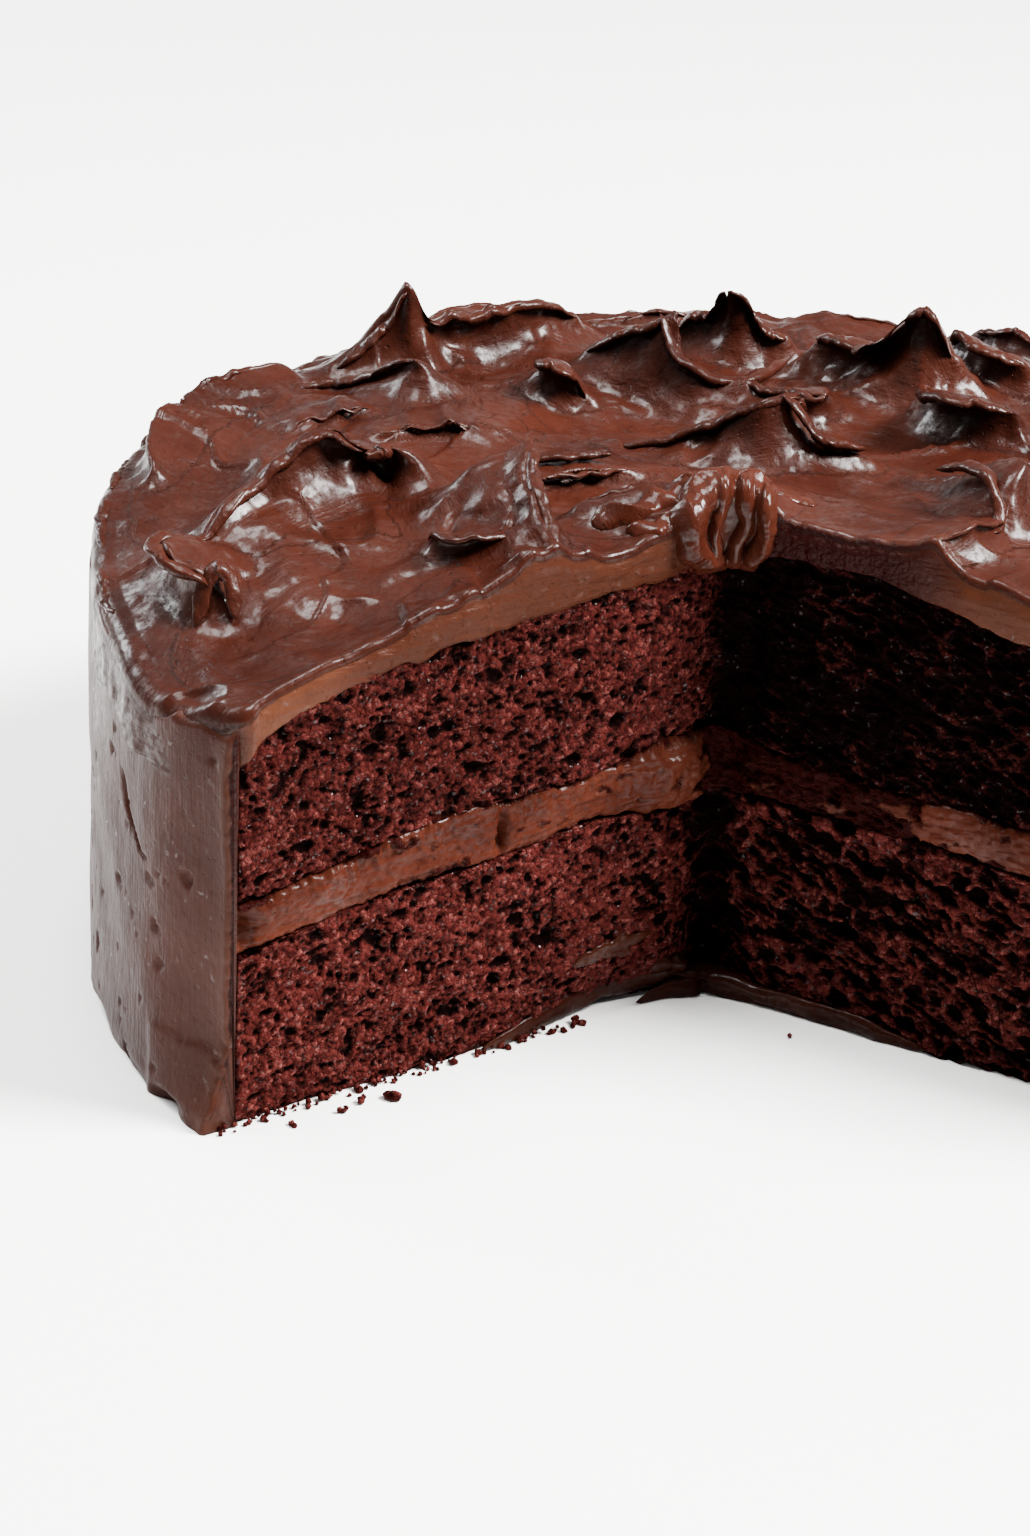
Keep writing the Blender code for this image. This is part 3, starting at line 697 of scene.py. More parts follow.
# Ridges that the spoon pulled up. Each crest runs through three points, given as x, y and height
# over the coat. Then come the reach of its left and of its right flank, seen along the crest, and
# how far the crest leans over to the right.
RIDGES = (
    ((-0.068, 0.055, 0.003), (-0.061, 0.058, 0.008), (-0.057, 0.060, 0.0150), 0.011, 0.012, 0.001),
    ((-0.054, 0.062, 0.009), (-0.040, 0.070, 0.009), (-0.026, 0.078, 0.005), 0.010, 0.009, 0.002),
    ((-0.074, 0.045, 0.003), (-0.063, 0.044, 0.005), (-0.053, 0.037, 0.0105), 0.008, 0.016, 0.002),
    ((-0.032, 0.046, 0.005), (-0.029, 0.044, 0.0085), (-0.025, 0.042, 0.003), 0.006, 0.007, 0.002),
    ((-0.024, 0.057, 0.003), (-0.017, 0.054, 0.008), (-0.0125, 0.051, 0.0135), 0.008, 0.011, 0.001),
    ((-0.0125, 0.051, 0.012), (-0.0075, 0.0445, 0.005), (0.001, 0.044, 0.004), 0.005, 0.006, -0.002),
    ((-0.009, 0.074, 0.005), (-0.002, 0.0725, 0.009), (0.0035, 0.0690, 0.0150), 0.006, 0.010, 0.002),
    ((0.0035, 0.0690, 0.013), (0.007, 0.068, 0.007), (0.012, 0.067, 0.005), 0.007, 0.006, 0.001),
    ((0.001, 0.045, 0.002), (0.009, 0.041, 0.004), (0.014, 0.040, 0.008), 0.008, 0.006, 0.003),
    ((-0.022, 0.020, 0.001), (-0.008, 0.015, 0.005), (0.004, 0.013, 0.0125), 0.009, 0.012, 0.001),
    ((0.004, 0.013, 0.0115), (0.009, 0.011, 0.006), (0.018, 0.013, 0.003), 0.006, 0.007, -0.003),
    ((0.018, 0.066, 0.004), (0.024, 0.060, 0.008), (0.030, 0.053, 0.010), 0.009, 0.006, 0.004),
    ((0.030, 0.052, 0.010), (0.034, 0.049, 0.0160), (0.038, 0.047, 0.008), 0.012, 0.013, 0.001),
    ((0.034, 0.040, 0.004), (0.038, 0.032, 0.011), (0.045, 0.027, 0.007), 0.011, 0.007, 0.004),
    ((0.026, 0.006, 0.002), (0.031, -0.002, 0.006), (0.037, -0.012, 0.0115), 0.011, 0.009, -0.002),
    ((0.043, 0.068, 0.004), (0.047, 0.060, 0.008), (0.052, 0.056, 0.006), 0.009, 0.007, 0.002),
    ((-0.035, -0.030, 0.003), (-0.0385, -0.021, 0.007), (-0.0405, -0.0115, 0.0130), 0.018, 0.008, 0.001),
    ((-0.053, -0.024, 0.002), (-0.047, -0.025, 0.006), (-0.040, -0.019, 0.002), 0.010, 0.006, 0.002),
    ((-0.038, 0.001, 0.004), (-0.030, 0.005, 0.004), (-0.021, 0.006, 0.002), 0.010, 0.006, 0.002),
    ((-0.089, -0.020, 0.003), (-0.079, -0.008, 0.008), (-0.068, 0.000, 0.012), 0.010, 0.014, 0.001),
    ((-0.068, 0.001, 0.011), (-0.061, 0.004, 0.009), (-0.056, 0.000, 0.008), 0.010, 0.007, 0.004),
    ((-0.090, -0.018, 0.002), (-0.089, -0.027, 0.0095), (-0.086, -0.032, 0.003), 0.009, 0.006, 0.003),
    ((-0.096, 0.012, 0.003), (-0.095, 0.024, 0.0055), (-0.091, 0.036, 0.004), 0.006, 0.009, -0.001),
    ((-0.091, 0.036, 0.004), (-0.085, 0.045, 0.005), (-0.076, 0.051, 0.004), 0.006, 0.009, -0.001),
    ((-0.014, -0.012, 0.005), (-0.006, -0.014, 0.0075), (-0.001, -0.008, 0.003), 0.012, 0.012, 0.003),
    ((0.023, -0.029, 0.003), (0.030, -0.023, 0.004), (0.036, -0.014, 0.002), 0.008, 0.007, 0.001),
    ((-0.016, -0.011, 0.005), (-0.022, -0.013, 0.004), (-0.029, -0.013, 0.003), 0.008, 0.006, 0.001),
    ((0.056, 0.004, 0.002), (0.063, 0.012, 0.007), (0.066, 0.022, 0.012), 0.013, 0.009, 0.003),
    ((0.050, -0.022, 0.003), (0.062, -0.018, 0.010), (0.073, -0.020, 0.004), 0.013, 0.008, 0.003),
    ((0.077, 0.036, 0.003), (0.073, 0.046, 0.008), (0.066, 0.053, 0.013), 0.013, 0.009, 0.002),
    ((0.088, -0.008, 0.004), (0.089, 0.006, 0.008), (0.085, 0.018, 0.003), 0.007, 0.011, -0.001),
    ((0.076, -0.048, 0.003), (0.079, -0.039, 0.007), (0.086, -0.032, 0.009), 0.009, 0.008, 0.002),
    ((0.016, 0.092, 0.001), (0.029, 0.089, 0.003), (0.041, 0.082, 0.002), 0.007, 0.011, -0.001),
    ((-0.016, 0.085, 0.001), (-0.005, 0.088, 0.003), (0.006, 0.086, 0.003), 0.010, 0.008, 0.001),
    ((-0.052, 0.081, 0.002), (-0.042, 0.086, 0.004), (-0.030, 0.088, 0.003), 0.006, 0.010, -0.001),
    ((0.060, 0.068, 0.003), (0.056, 0.075, 0.006), (0.049, 0.081, 0.003), 0.007, 0.009, -0.001),
    ((-0.060, 0.020, 0.002), (-0.048, 0.024, 0.003), (-0.038, 0.022, 0.001), 0.010, 0.008, 0.002),
    ((-0.076, 0.024, 0.001), (-0.070, 0.029, 0.003), (-0.062, 0.030, 0.001), 0.009, 0.006, 0.002),
)

# Hollows that the back of the spoon pressed: x, y, half length, half width, turn in degrees, depth.
BOWLS = (
    (-0.070, -0.035, 0.018, 0.012, 25.0, 0.0030),
    (-0.087, 0.010, 0.020, 0.010, 75.0, 0.0035),
    (-0.048, 0.008, 0.016, 0.012, 20.0, 0.0025),
    (-0.060, 0.048, 0.015, 0.008, 15.0, 0.0025),
    (-0.014, 0.036, 0.017, 0.011, -15.0, 0.0040),
    (0.021, 0.031, 0.014, 0.012, 30.0, 0.0035),
    (0.020, 0.002, 0.015, 0.011, -35.0, 0.0035),
    (0.012, 0.058, 0.013, 0.009, 35.0, 0.0035),
    (-0.036, 0.062, 0.013, 0.009, 20.0, 0.0025),
    (0.056, 0.038, 0.016, 0.012, 60.0, 0.0040),
    (0.074, -0.004, 0.013, 0.012, 80.0, 0.0035),
    (0.052, -0.004, 0.012, 0.010, -30.0, 0.0030),
    (-0.004, 0.074, 0.016, 0.007, 5.0, 0.0025),
    (0.064, -0.035, 0.014, 0.008, -30.0, 0.0025),
    (0.033, 0.074, 0.014, 0.009, -30.0, 0.0030),
    (-0.024, -0.002, 0.010, 0.008, 10.0, 0.0020),
)


def wall_radius(degrees, z):
    """Radius of the coat's outer face: flared at its foot and drawn in at the cut corners."""
    turned = degrees - RIGHT_CUT
    corner = np.exp(-((turned / CORNER_WIDTH) ** 2))
    corner = corner + np.exp(-(((LEFT_CUT - degrees) / CORNER_WIDTH) ** 2))
    flare = np.clip(1.0 - z / FLARE_HEIGHT, 0.0, 1.0) ** 2
    uneven = 0.0006 * waves(turned * 0.0018, z, 0.05) * (1.0 - flare)
    wall = WALL_RADIUS - CORNER_DRAW * corner + uneven
    return wall + (FOOT_RADIUS - wall) * flare


def crest_points(ridge, count=20):
    """Points of a crest and its height, on the parabola through the ridge's three points."""
    first, middle, last = (np.array(point) for point in ridge[:3])
    along = np.linspace(0.0, 1.0, count + 1)[:, None]
    bend = 2 * middle - (first + last) / 2
    return (1 - along) ** 2 * first + 2 * along * (1 - along) * bend + along**2 * last


def ridge_rise(ridge, seed, x, y):
    """Rise of the surface over one ridge, its sideways lean, and how each point lies to the crest.

    The rise falls off as a power of 1 - distance / reach, which gives a narrow crest with hollow
    flanks. The reach goes smoothly from the left flank's to the right flank's round the ends, and
    is shorter on the side that the crest leans to. A bead with a groove beside it runs along the
    crest, which is notched by noise, and the tip curls down as it leans out.
    """
    crest = crest_points(ridge)
    left, right, lean = ridge[3:]
    nearest = np.full(x.shape, np.inf)
    rise, flow = np.zeros(x.shape), np.zeros((2, *x.shape))
    shift = np.zeros((3, *x.shape))
    peak, passed = crest[:, 2].max(), 0.0
    for start, end in zip(crest[:-1], crest[1:]):
        step = end - start
        run = step[0] ** 2 + step[1] ** 2
        share = np.clip(((x - start[0]) * step[0] + (y - start[1]) * step[1]) / run, 0.0, 1.0)
        off_x, off_y = x - start[0] - share * step[0], y - start[1] - share * step[1]
        distance = np.hypot(off_x, off_y)
        side = (step[0] * off_y - step[1] * off_x) / (np.sqrt(run) * np.maximum(distance, 1e-9))
        steep = 1 - (1 - LEAN_SIDE) * (0.5 - 0.5 * side * np.sign(lean))
        reach = (right + (left - right) * (0.5 + 0.5 * side)) * steep * REACH_MORE
        away = (np.sqrt(distance**2 + CREST_ROUND**2) - CREST_ROUND) / reach
        along = passed + share * np.sqrt(run)
        notch = 0.15 * layered(along / 0.0042, 0 * along, seed) * np.clip(1 - away * 4, 0, 1)
        height = (start[2] + share * step[2]) * np.clip(1.0 - away, 0.0, 1.0) ** CREST_POWER * (1 + notch)
        groove = np.exp(-(((distance - GROOVE_AT) / BEAD_WIDTH) ** 2))
        roll = np.exp(-((distance / BEAD_WIDTH) ** 2)) - 0.8 * groove
        height = height + BEAD_RISE * roll * np.clip(height / 0.004, 0, 1)
        closer = distance < nearest
        nearest = np.where(closer, distance, nearest)
        rise = np.where(closer, height, rise)
        tilt = CREST_LEAN * lean * np.clip(height / peak, 0, 1) ** 3 / np.sqrt(run)
        curl = CREST_CURL * np.abs(tilt) * np.sqrt(run) * np.clip(height / peak, 0, 1)
        shift = np.where(closer, np.stack([step[1] * tilt, -step[0] * tilt, -curl]), shift)
        flow = np.where(closer, np.stack([distance * np.sign(side + 1e-9), along]), flow)
        passed += np.sqrt(run)
    return rise, shift, flow


def fine_relief(x, y):
    """Height of the top's small forms: soft unevenness, sharp folds and laps.

    A fold follows the line where a noise passes 0. A lap rises in a step each time another noise
    passes a whole number, and falls off from there as a power.
    """
    soft = 0.00030 * layered(x / 0.004, y / 0.004, 32) + 0.0007 * layered(x / 0.015, y / 0.015, 33)
    fold_x = x + 0.006 * layered(x / 0.021, y / 0.021, 34)
    fold_y = y + 0.006 * layered(x / 0.021, y / 0.021, 35)
    folds = np.clip(1 - np.abs(layered(fold_x / 0.019, fold_y / 0.013, 36, 2)) * 3.2, 0, 1) ** 2
    folds = folds * 0.0013 * eased(layered(x / 0.017, y / 0.017, 37), -0.35, 0.35)
    spread = layered(fold_x / 0.030, fold_y / 0.021, 38, 3) * LAP_COUNT + x / 0.045 - y / 0.060
    spread = spread - np.floor(spread)
    laps = eased(spread, 0.0, 0.08) * (1 - spread) ** 1.3 * LAP_RISE
    laps = laps * eased(layered(x / 0.016, y / 0.016, 39), -0.45, 0.15)
    return soft + folds + laps


def frosting_surface(x, y):
    """Top of the frosting: the coat over the sponge, pressed into bowls and pulled into ridges.

    Where ridges meet, the fourth root of the sum of their fourth powers keeps the valley between
    them. Each crest leans sideways, so that the tips hang over as soft peaks do. The spoon's lines
    run along the nearest crest, or round the nearest bowl, and the last value gives their places.
    """
    radius = np.hypot(x, y)
    back = np.clip((y - BACK_FROM) / (BACK_TO - BACK_FROM), 0.0, 1.0)
    thick = FROSTING_THICK + BACK_THICK * (radius / FOOT_RADIUS) ** 2 * back**2 * (3.0 - 2.0 * back)
    z = sponge_height(x, y) + thick + 0.0009 * waves(x, y, 0.06)
    bend_x = x + 0.0011 * layered(x / 0.010, y / 0.010, 21)
    bend_y = y + 0.0011 * layered(x / 0.010, y / 0.010, 22)
    weight = np.full(x.shape, 0.10)
    flow = np.stack([bend_y * 1000, bend_x * 1000])
    for bowl_x, bowl_y, length, width, degrees, depth in BOWLS:
        turn = np.radians(degrees)
        along = (bend_x - bowl_x) * np.cos(turn) + (bend_y - bowl_y) * np.sin(turn)
        across = (bend_y - bowl_y) * np.cos(turn) - (bend_x - bowl_x) * np.sin(turn)
        pressed = np.exp(-((along / length) ** 2) - (across / width) ** 2)
        z = z - depth * pressed
        own = np.stack([np.hypot(along * width / length, across), along]) * 1000
        flow = np.where(pressed * 0.5 > weight, own, flow)
        weight = np.maximum(weight, pressed * 0.5)
    total = np.zeros(x.shape)
    shift = np.zeros((3, *x.shape))
    for number, ridge in enumerate(RIDGES):
        reach = 0.02 + 0.5 * math.dist(ridge[0][:2], ridge[2][:2])
        near = np.flatnonzero(np.hypot(bend_x - ridge[1][0], bend_y - ridge[1][1]) < reach)
        rise, lean, place = ridge_rise(ridge, 100 + number, bend_x[near], bend_y[near])
        total[near] += rise**4
        shift[:, near] += lean
        pull = np.clip(rise / 0.004, 0, 1)
        flow[:, near] = np.where(pull > weight[near], place * 1000, flow[:, near])
        weight[near] = np.maximum(weight[near], pull)
    lines = layered(flow[0] / 1.9, flow[1] / 13, 31, 2) * 0.00024 * np.clip(weight * 2, 0.35, 1)
    top = z + total**0.25 + lines + fine_relief(x, y) + shift[2]
    return x + shift[0], y + shift[1], top, flow


def side_dents(degrees, z):
    """Steps of the side's face in metres: streaks, pits, the gash, a crack, the smear and a ragged foot.

    Degrees are those round the middle of the cake, and the other lengths are in mm. The gash and
    the crack are grooves across a slanting line, with a bell for their section.
    """
    arc, v = np.radians(degrees) * WALL_RADIUS * 1000, z * 1000
    streaks = 0.05 * layered(arc / 1.4, v / 18, 41) + 0.20 * layered(arc / 9, v / 20, 42)
    pits = 1.0 * pores(arc / 3.6 + 0.4 * layered(arc / 2, v / 2, 44), v / 3.1, 0.05, 43)
    pits = pits + 0.45 * pores(arc / 1.6, v / 1.5, 0.03, 45)
    line = 201.05 + (48.3 - v) * 0.42 + 0.5 * np.sin(v / 1.9)
    line = np.where(v < 40, 204.6 + (40 - v) * 3.0, line)
    width = 0.25 + 0.25 * eased(v, 39, 45)
    gash = 1.3 * np.exp(-(((degrees - line) / width) ** 2))
    gash = gash * eased(v, 38.0, 41.0) * (1 - eased(v, 48.0, 51.0))
    end = 0.35 * np.exp(-(((degrees - line) / 0.5) ** 2))
    gash = gash + end * eased(v, 37.6, 38.4) * (1 - eased(v, 38.4, 40.2))
    crack = 0.9 * np.exp(-(((degrees - 186.8 - (43.5 - v) * 1.3) / 0.5) ** 2))
    crack = crack * eased(v, 39.5, 41) * (1 - eased(v, 44, 46))
    smear = 0.45 * (1 - eased(v, 12.2 + 0.9 * layered(arc / 3, 0 * arc, 46), 13.6))
    smear = smear * eased(degrees, 206.5, 208)
    foot = 0.7 * np.clip(1 - v / 2.5, 0, 1) * (0.6 + layered(arc / 9, 0 * v, 47))
    notch = 2.4 * np.exp(-(((degrees - 210.3) / 1.6) ** 2)) * (1 - eased(v, 1.2, 3.0))
    return (streaks - pits - gash - crack + smear - foot - notch) / 1000


def side_columns():
    """Degrees round the apex of the side's columns: closest at the cuts and finer where the side shows."""
    fine = np.degrees(SIDE_FINE / WALL_RADIUS)
    coarse = np.degrees(SIDE_COARSE / WALL_RADIUS)
    end = np.linspace(0, 1, 7)[:-1] ** 1.5 * SIDE_END
    left = np.concatenate([end, np.arange(SIDE_END, SIDE_FINE_DEGREES, fine)])
    right = np.concatenate([end, np.arange(SIDE_END, SIDE_FINE_DEGREES * 0.55, fine)])
    middle = np.arange(RIGHT_CUT + right[-1] + coarse, LEFT_CUT - left[-1], coarse)
    return np.concatenate([RIGHT_CUT + right, middle, (LEFT_CUT - left)[::-1]])


def side_piece(material):
    """The side: each column goes up the outer face, in under the top coat and down the sponge.

    Towards its two ends the face rounds off as a quarter circle, and noise makes those edges ragged.
    """
    degrees = side_columns()
    angle = np.radians(degrees)
    direction = np.stack([np.cos(angle), np.sin(angle)], 1)

    def at(radius):
        """Places of the columns at that radius from the middle of the cake."""
        return APEX + cut_reach(degrees, radius)[..., None] * direction

    inner = SPONGE_RADIUS + FIT_GAP
    top = frosting_surface(*at(WALL_RADIUS - 2 * RIM_ROUND).T)[2]
    top = np.minimum(top, SIDE_HIGHEST) - SIDE_DROP
    share = np.linspace(0.0, 1.0, SIDE_ROWS)
    z = FLOOR_LIFT + share[:, None] * (top - FLOOR_LIFT)
    radius = wall_radius(degrees, z)
    outer = at(radius)
    radius = radius + side_dents(np.degrees(np.arctan2(outer[..., 1], outer[..., 0])) % 360, z)
    to_cut = np.minimum(degrees - RIGHT_CUT, LEFT_CUT - degrees)
    rounding = 1 - np.sqrt(np.clip(1 - (1 - np.clip(to_cut / EDGE_DEGREES, 0, 1)) ** 2, 0, 1))
    radius = radius - EDGE_FALL * rounding
    shrink = 1 - np.sqrt(np.clip(1 - eased(share, 0.975, 1.0) ** 2, 0, 1))
    radius = np.maximum(radius - TOP_INWARD * shrink[:, None], inner + LEAST_WALL)
    face = np.concatenate([at(radius), z[..., None]], -1)
    ragged = 0.45 * layered(z * 250, radius * 250, 50) - 0.15
    ragged = ragged + 0.35 * layered(z * 1000 / 0.9, radius * 500, 51)
    for cut, side in CUTS:
        facing = np.radians(cut + side)
        torn = ragged * np.exp(-((np.abs(degrees - cut) / 0.45) ** 2)) / 1000
        face[..., :2] = face[..., :2] + torn[..., None] * np.array([np.cos(facing), np.sin(facing)])
    below, above = (np.column_stack([at(inner), level]) for level in (z[0], z[-1]))
    rings = np.concatenate([below[None], face, above[None]])
    rows, columns = rings.shape[:2]
    row, column = np.meshgrid(np.arange(rows), np.arange(columns - 1), indexing="ij")
    here, after = row * columns + column, ((row + 1) % rows) * columns + column
    quads = np.stack([here, here + 1, after + 1, after], -1).reshape(-1, 4)
    end_right = (np.arange(rows) * columns)[None]
    end_left = (np.arange(rows) * columns + columns - 1)[None, ::-1]
    arc = np.broadcast_to(angle * WALL_RADIUS * 1000, rings.shape[:2])
    v = rings[..., 2] * 1000
    flow = np.stack([arc, v, 0 * arc], -1).reshape(-1, 3)
    round_middle = np.degrees(np.arctan2(rings[..., 1], rings[..., 0])) % 360
    streak = np.exp(-(((round_middle - STREAK_AT) / STREAK_WIDTH) ** 2)) * eased(v, 30, 50)
    streak = streak * (0.6 + 0.5 * layered(arc / 3, v / 20, 49))
    # Painted light: the colour is paler along the cut edges, where the rounded edge catches light.
    pale = np.broadcast_to(0.12 * np.exp(-((to_cut / 1.3) ** 2)), v.shape)
    crumbs = np.zeros(v.shape)
    crumbs[:, [0, -1]] = eased(layered(v[:, [0, -1]] / 3, arc[:, [0, -1]], 48), -0.7, 0.0)
    stored = {"crumbs": crumbs.ravel(), "dull": 1 - streak.ravel(), "pale": pale.ravel()}
    faces, points = [quads, end_right, end_left], rings.reshape(-1, 3)
    return add_piece("frosting_side", points, faces, material, "frosting", "frosting", flow=flow, **stored)


side_material = cream_finish(
    "side_frosting", SIDE_LIT_DARK, SIDE_LIT_LIGHT, roughness=0.42, shine=0.70, grain=0.00020, sheen=0.045
)
side_piece(side_material)


# The coat on top: the same frosting, swirled with the back of a spoon into bowls and curled peaks.
# It rolls over the rim, and the knife left it as a smooth band along both cuts. The mesh is a fan
# of triangles round the apex, with rows of points down its edge and a hidden underside.
TOP_RINGS = 184
SECTORS = 4
CUT_ROUND = 0.0010
ROUND_ROWS = 6
BAND_ROWS = 12
TUCKS = ((0.0008, -0.0003), (0.0022, -0.0001), (0.0045, 0.0012))
SEAM_DROP = 0.0075
RIM_HIGHEST = 0.076
EDGE_LIP = 0.0007
CUT_HOLD = 0.004
CUT_LENGTH = 0.0945
TOP_DARK = (0.0090, 0.0016, 0.0008)
TOP_LIGHT = (0.0235, 0.0056, 0.0031)


def fan_start(ring):
    """Number of the first point of a ring."""
    return SECTORS * ring * (ring - 1) // 2 + ring


def fan_points(rings):
    """Ring from 0 to 1 and turn from 0 to 1 of each point of a fan, where ring k has 4k + 1 points."""
    counts = [SECTORS * k + 1 for k in range(rings + 1)]
    ring = np.concatenate([np.full(count, k / rings) for k, count in enumerate(counts)])
    turn = np.concatenate([np.linspace(0.0, 1.0, count) for count in counts])
    return ring, turn


def fan_faces(rings):
    """Triangles of the fan, anticlockwise from above: between rings k - 1 and k, 2k - 1 to a sector."""
    bands = []
    sector = np.arange(SECTORS)[:, None]
    for ring in range(1, rings + 1):
        step = np.arange(ring)
        near = fan_start(ring - 1) + sector * (ring - 1) + step
        far = fan_start(ring) + sector * ring + step
        bands.append(np.stack([near, far, far + 1], -1).reshape(-1, 3))
        bands.append(np.stack([near, far + 1, near + 1], -1)[:, :-1].reshape(-1, 3))
    return np.concatenate(bands)


def fan_edge(rings):
    """Points round the fan: out along the right cut, round the rim and back along the left cut."""
    out = [fan_start(ring) for ring in range(rings + 1)]
    rim = [fan_start(rings) + i for i in range(1, SECTORS * rings + 1)]
    back = [fan_start(ring) + SECTORS * ring for ring in range(rings - 1, 0, -1)]
    return np.array(out + rim + back)


def smoothed(values, width):
    """Each value of a closed loop averaged with its neighbours."""
    reach = int(3 * width)
    weights = np.exp(-((np.arange(-reach, reach + 1) / width) ** 2))
    padded = np.concatenate([values[-reach:], values, values[:reach]])
    return np.convolve(padded, weights / weights.sum(), "valid")


def from_cut(x, y, cut, side):
    """A cut's outward direction, and how far points are in from its plane and along it from the apex."""
    along, facing = np.radians(cut), np.radians(cut + side)
    out = np.array([np.cos(facing), np.sin(facing)])
    inside = -((x - APEX[0]) * out[0] + (y - APEX[1]) * out[1])
    ahead = (x - APEX[0]) * np.cos(along) + (y - APEX[1]) * np.sin(along)
    return out, inside, ahead


def top_points(ring, degrees):
    """The swirled surface on the fan's points, drawn in along the cuts to leave room for their rounding.

    The lean of the crests is held back near the cuts, by a bell of the distance, so that the edges
    stay straight. A thin lip, the blade's burr, stands along them.
    """
    angle = np.radians(degrees)
    reach = cut_reach(degrees, wall_radius(degrees, SPONGE_TOP) - RIM_ROUND)
    x, y = APEX[0] + ring * reach * np.cos(angle), APEX[1] + ring * reach * np.sin(angle)
    for cut, side in CUTS:
        out, inside, ahead = from_cut(x, y, cut, side)
        inward = CUT_ROUND * np.exp(-np.abs(inside) / 0.0025) * (ahead > -0.002)
        x, y = x - inward * out[0], y - inward * out[1]
    to_cut = np.full(x.shape, 1.0)
    for cut, side in CUTS:
        _, inside, ahead = from_cut(x, y, cut, side)
        to_cut = np.minimum(to_cut, np.hypot(inside - CUT_ROUND, np.minimum(ahead, 0)))
    leant_x, leant_y, z, flow = frosting_surface(x, y)
    free = 1 - np.exp(-((to_cut / CUT_HOLD) ** 2))
    x, y = x + (leant_x - x) * free, y + (leant_y - y) * free
    lip = EDGE_LIP * (0.55 + 0.6 * layered(x / 0.006, y / 0.006, 66)) * np.exp(-((to_cut / 0.0011) ** 2))
    return np.stack([x, y, z + lip], 1), flow.T


def edge_foot(base, u, turn, on_rim):
    """Height where the edge's rows end: raggedly at the sponge on the cuts, over the side on the rim."""
    ragged = -0.6 + 0.8 * layered(u / 3.5, 0 * u, 61) + 0.5 * layered(u / 0.9, 0 * u, 62)
    cut_foot = sponge_height(*base[:, :2].T) + (ragged - np.exp(-(((u + 3) / 6) ** 2))) / 1000
    rim_foot = np.minimum(base[:, 2], RIM_HIGHEST) - RIM_ROUND - SEAM_DROP
    rim_foot = rim_foot + 0.0018 * layered(turn * 110, 0 * turn, 63)
    return smoothed(cut_foot * (1 - on_rim) + rim_foot * on_rim, 2.0)


def edge_step(u, v, share, turn, on_rim, seam):
    """How far a row of the edge stands out, in mm: swelling and drag lines on the cuts, laps on the rim."""
    cut_step = 0.25 + 0.35 * np.sin(np.pi * share)
    cut_step = cut_step + 0.25 * layered(u / 5, v / 1.6, 64) + 0.20 * layered(u / 8, v / 0.8, 68)
    rim_step = 0.30 - 1.5 * share + 0.45 * layered(turn * 60, v / 5, 67)
    rim_step = rim_step + seam * (2.0 * share + 0.25 * layered(turn * 210, v / 2, 65))
    return (cut_step * (1 - on_rim) + rim_step * on_rim) * min(1.0, share * 4)


def band_marks(u, v, share):
    """How dull a row of the cut bands is, how filmed with torn crumb, and how paled, each from 0 to 1.

    On the right band the film is painted shade as well, and the paling is painted light.
    """
    dull = np.where(u > 0, 1.0, min(1.0, share * 3))
    ragged = share + 0.35 * layered(u / 4, v / 2, 69)
    # On the right band the crumb film is also painted shade, from the band's top down.
    film = eased(u, 1.0, 4.0) * (1 - eased(u, 26.0, 36.0)) * eased(ragged, -0.25, 0.15)
    # Painted light: paler over the left band, most towards its left end, and on the right band's far part.
    left_band_light = 0.18 + 0.42 * eased(-u, 74.0, 84.0) * (0.7 + 0.5 * layered(u / 6, v / 1.5, 70))
    return dull, film, np.where(u < 0, left_band_light, 0.30 * eased(u, 33.0, 40.0))


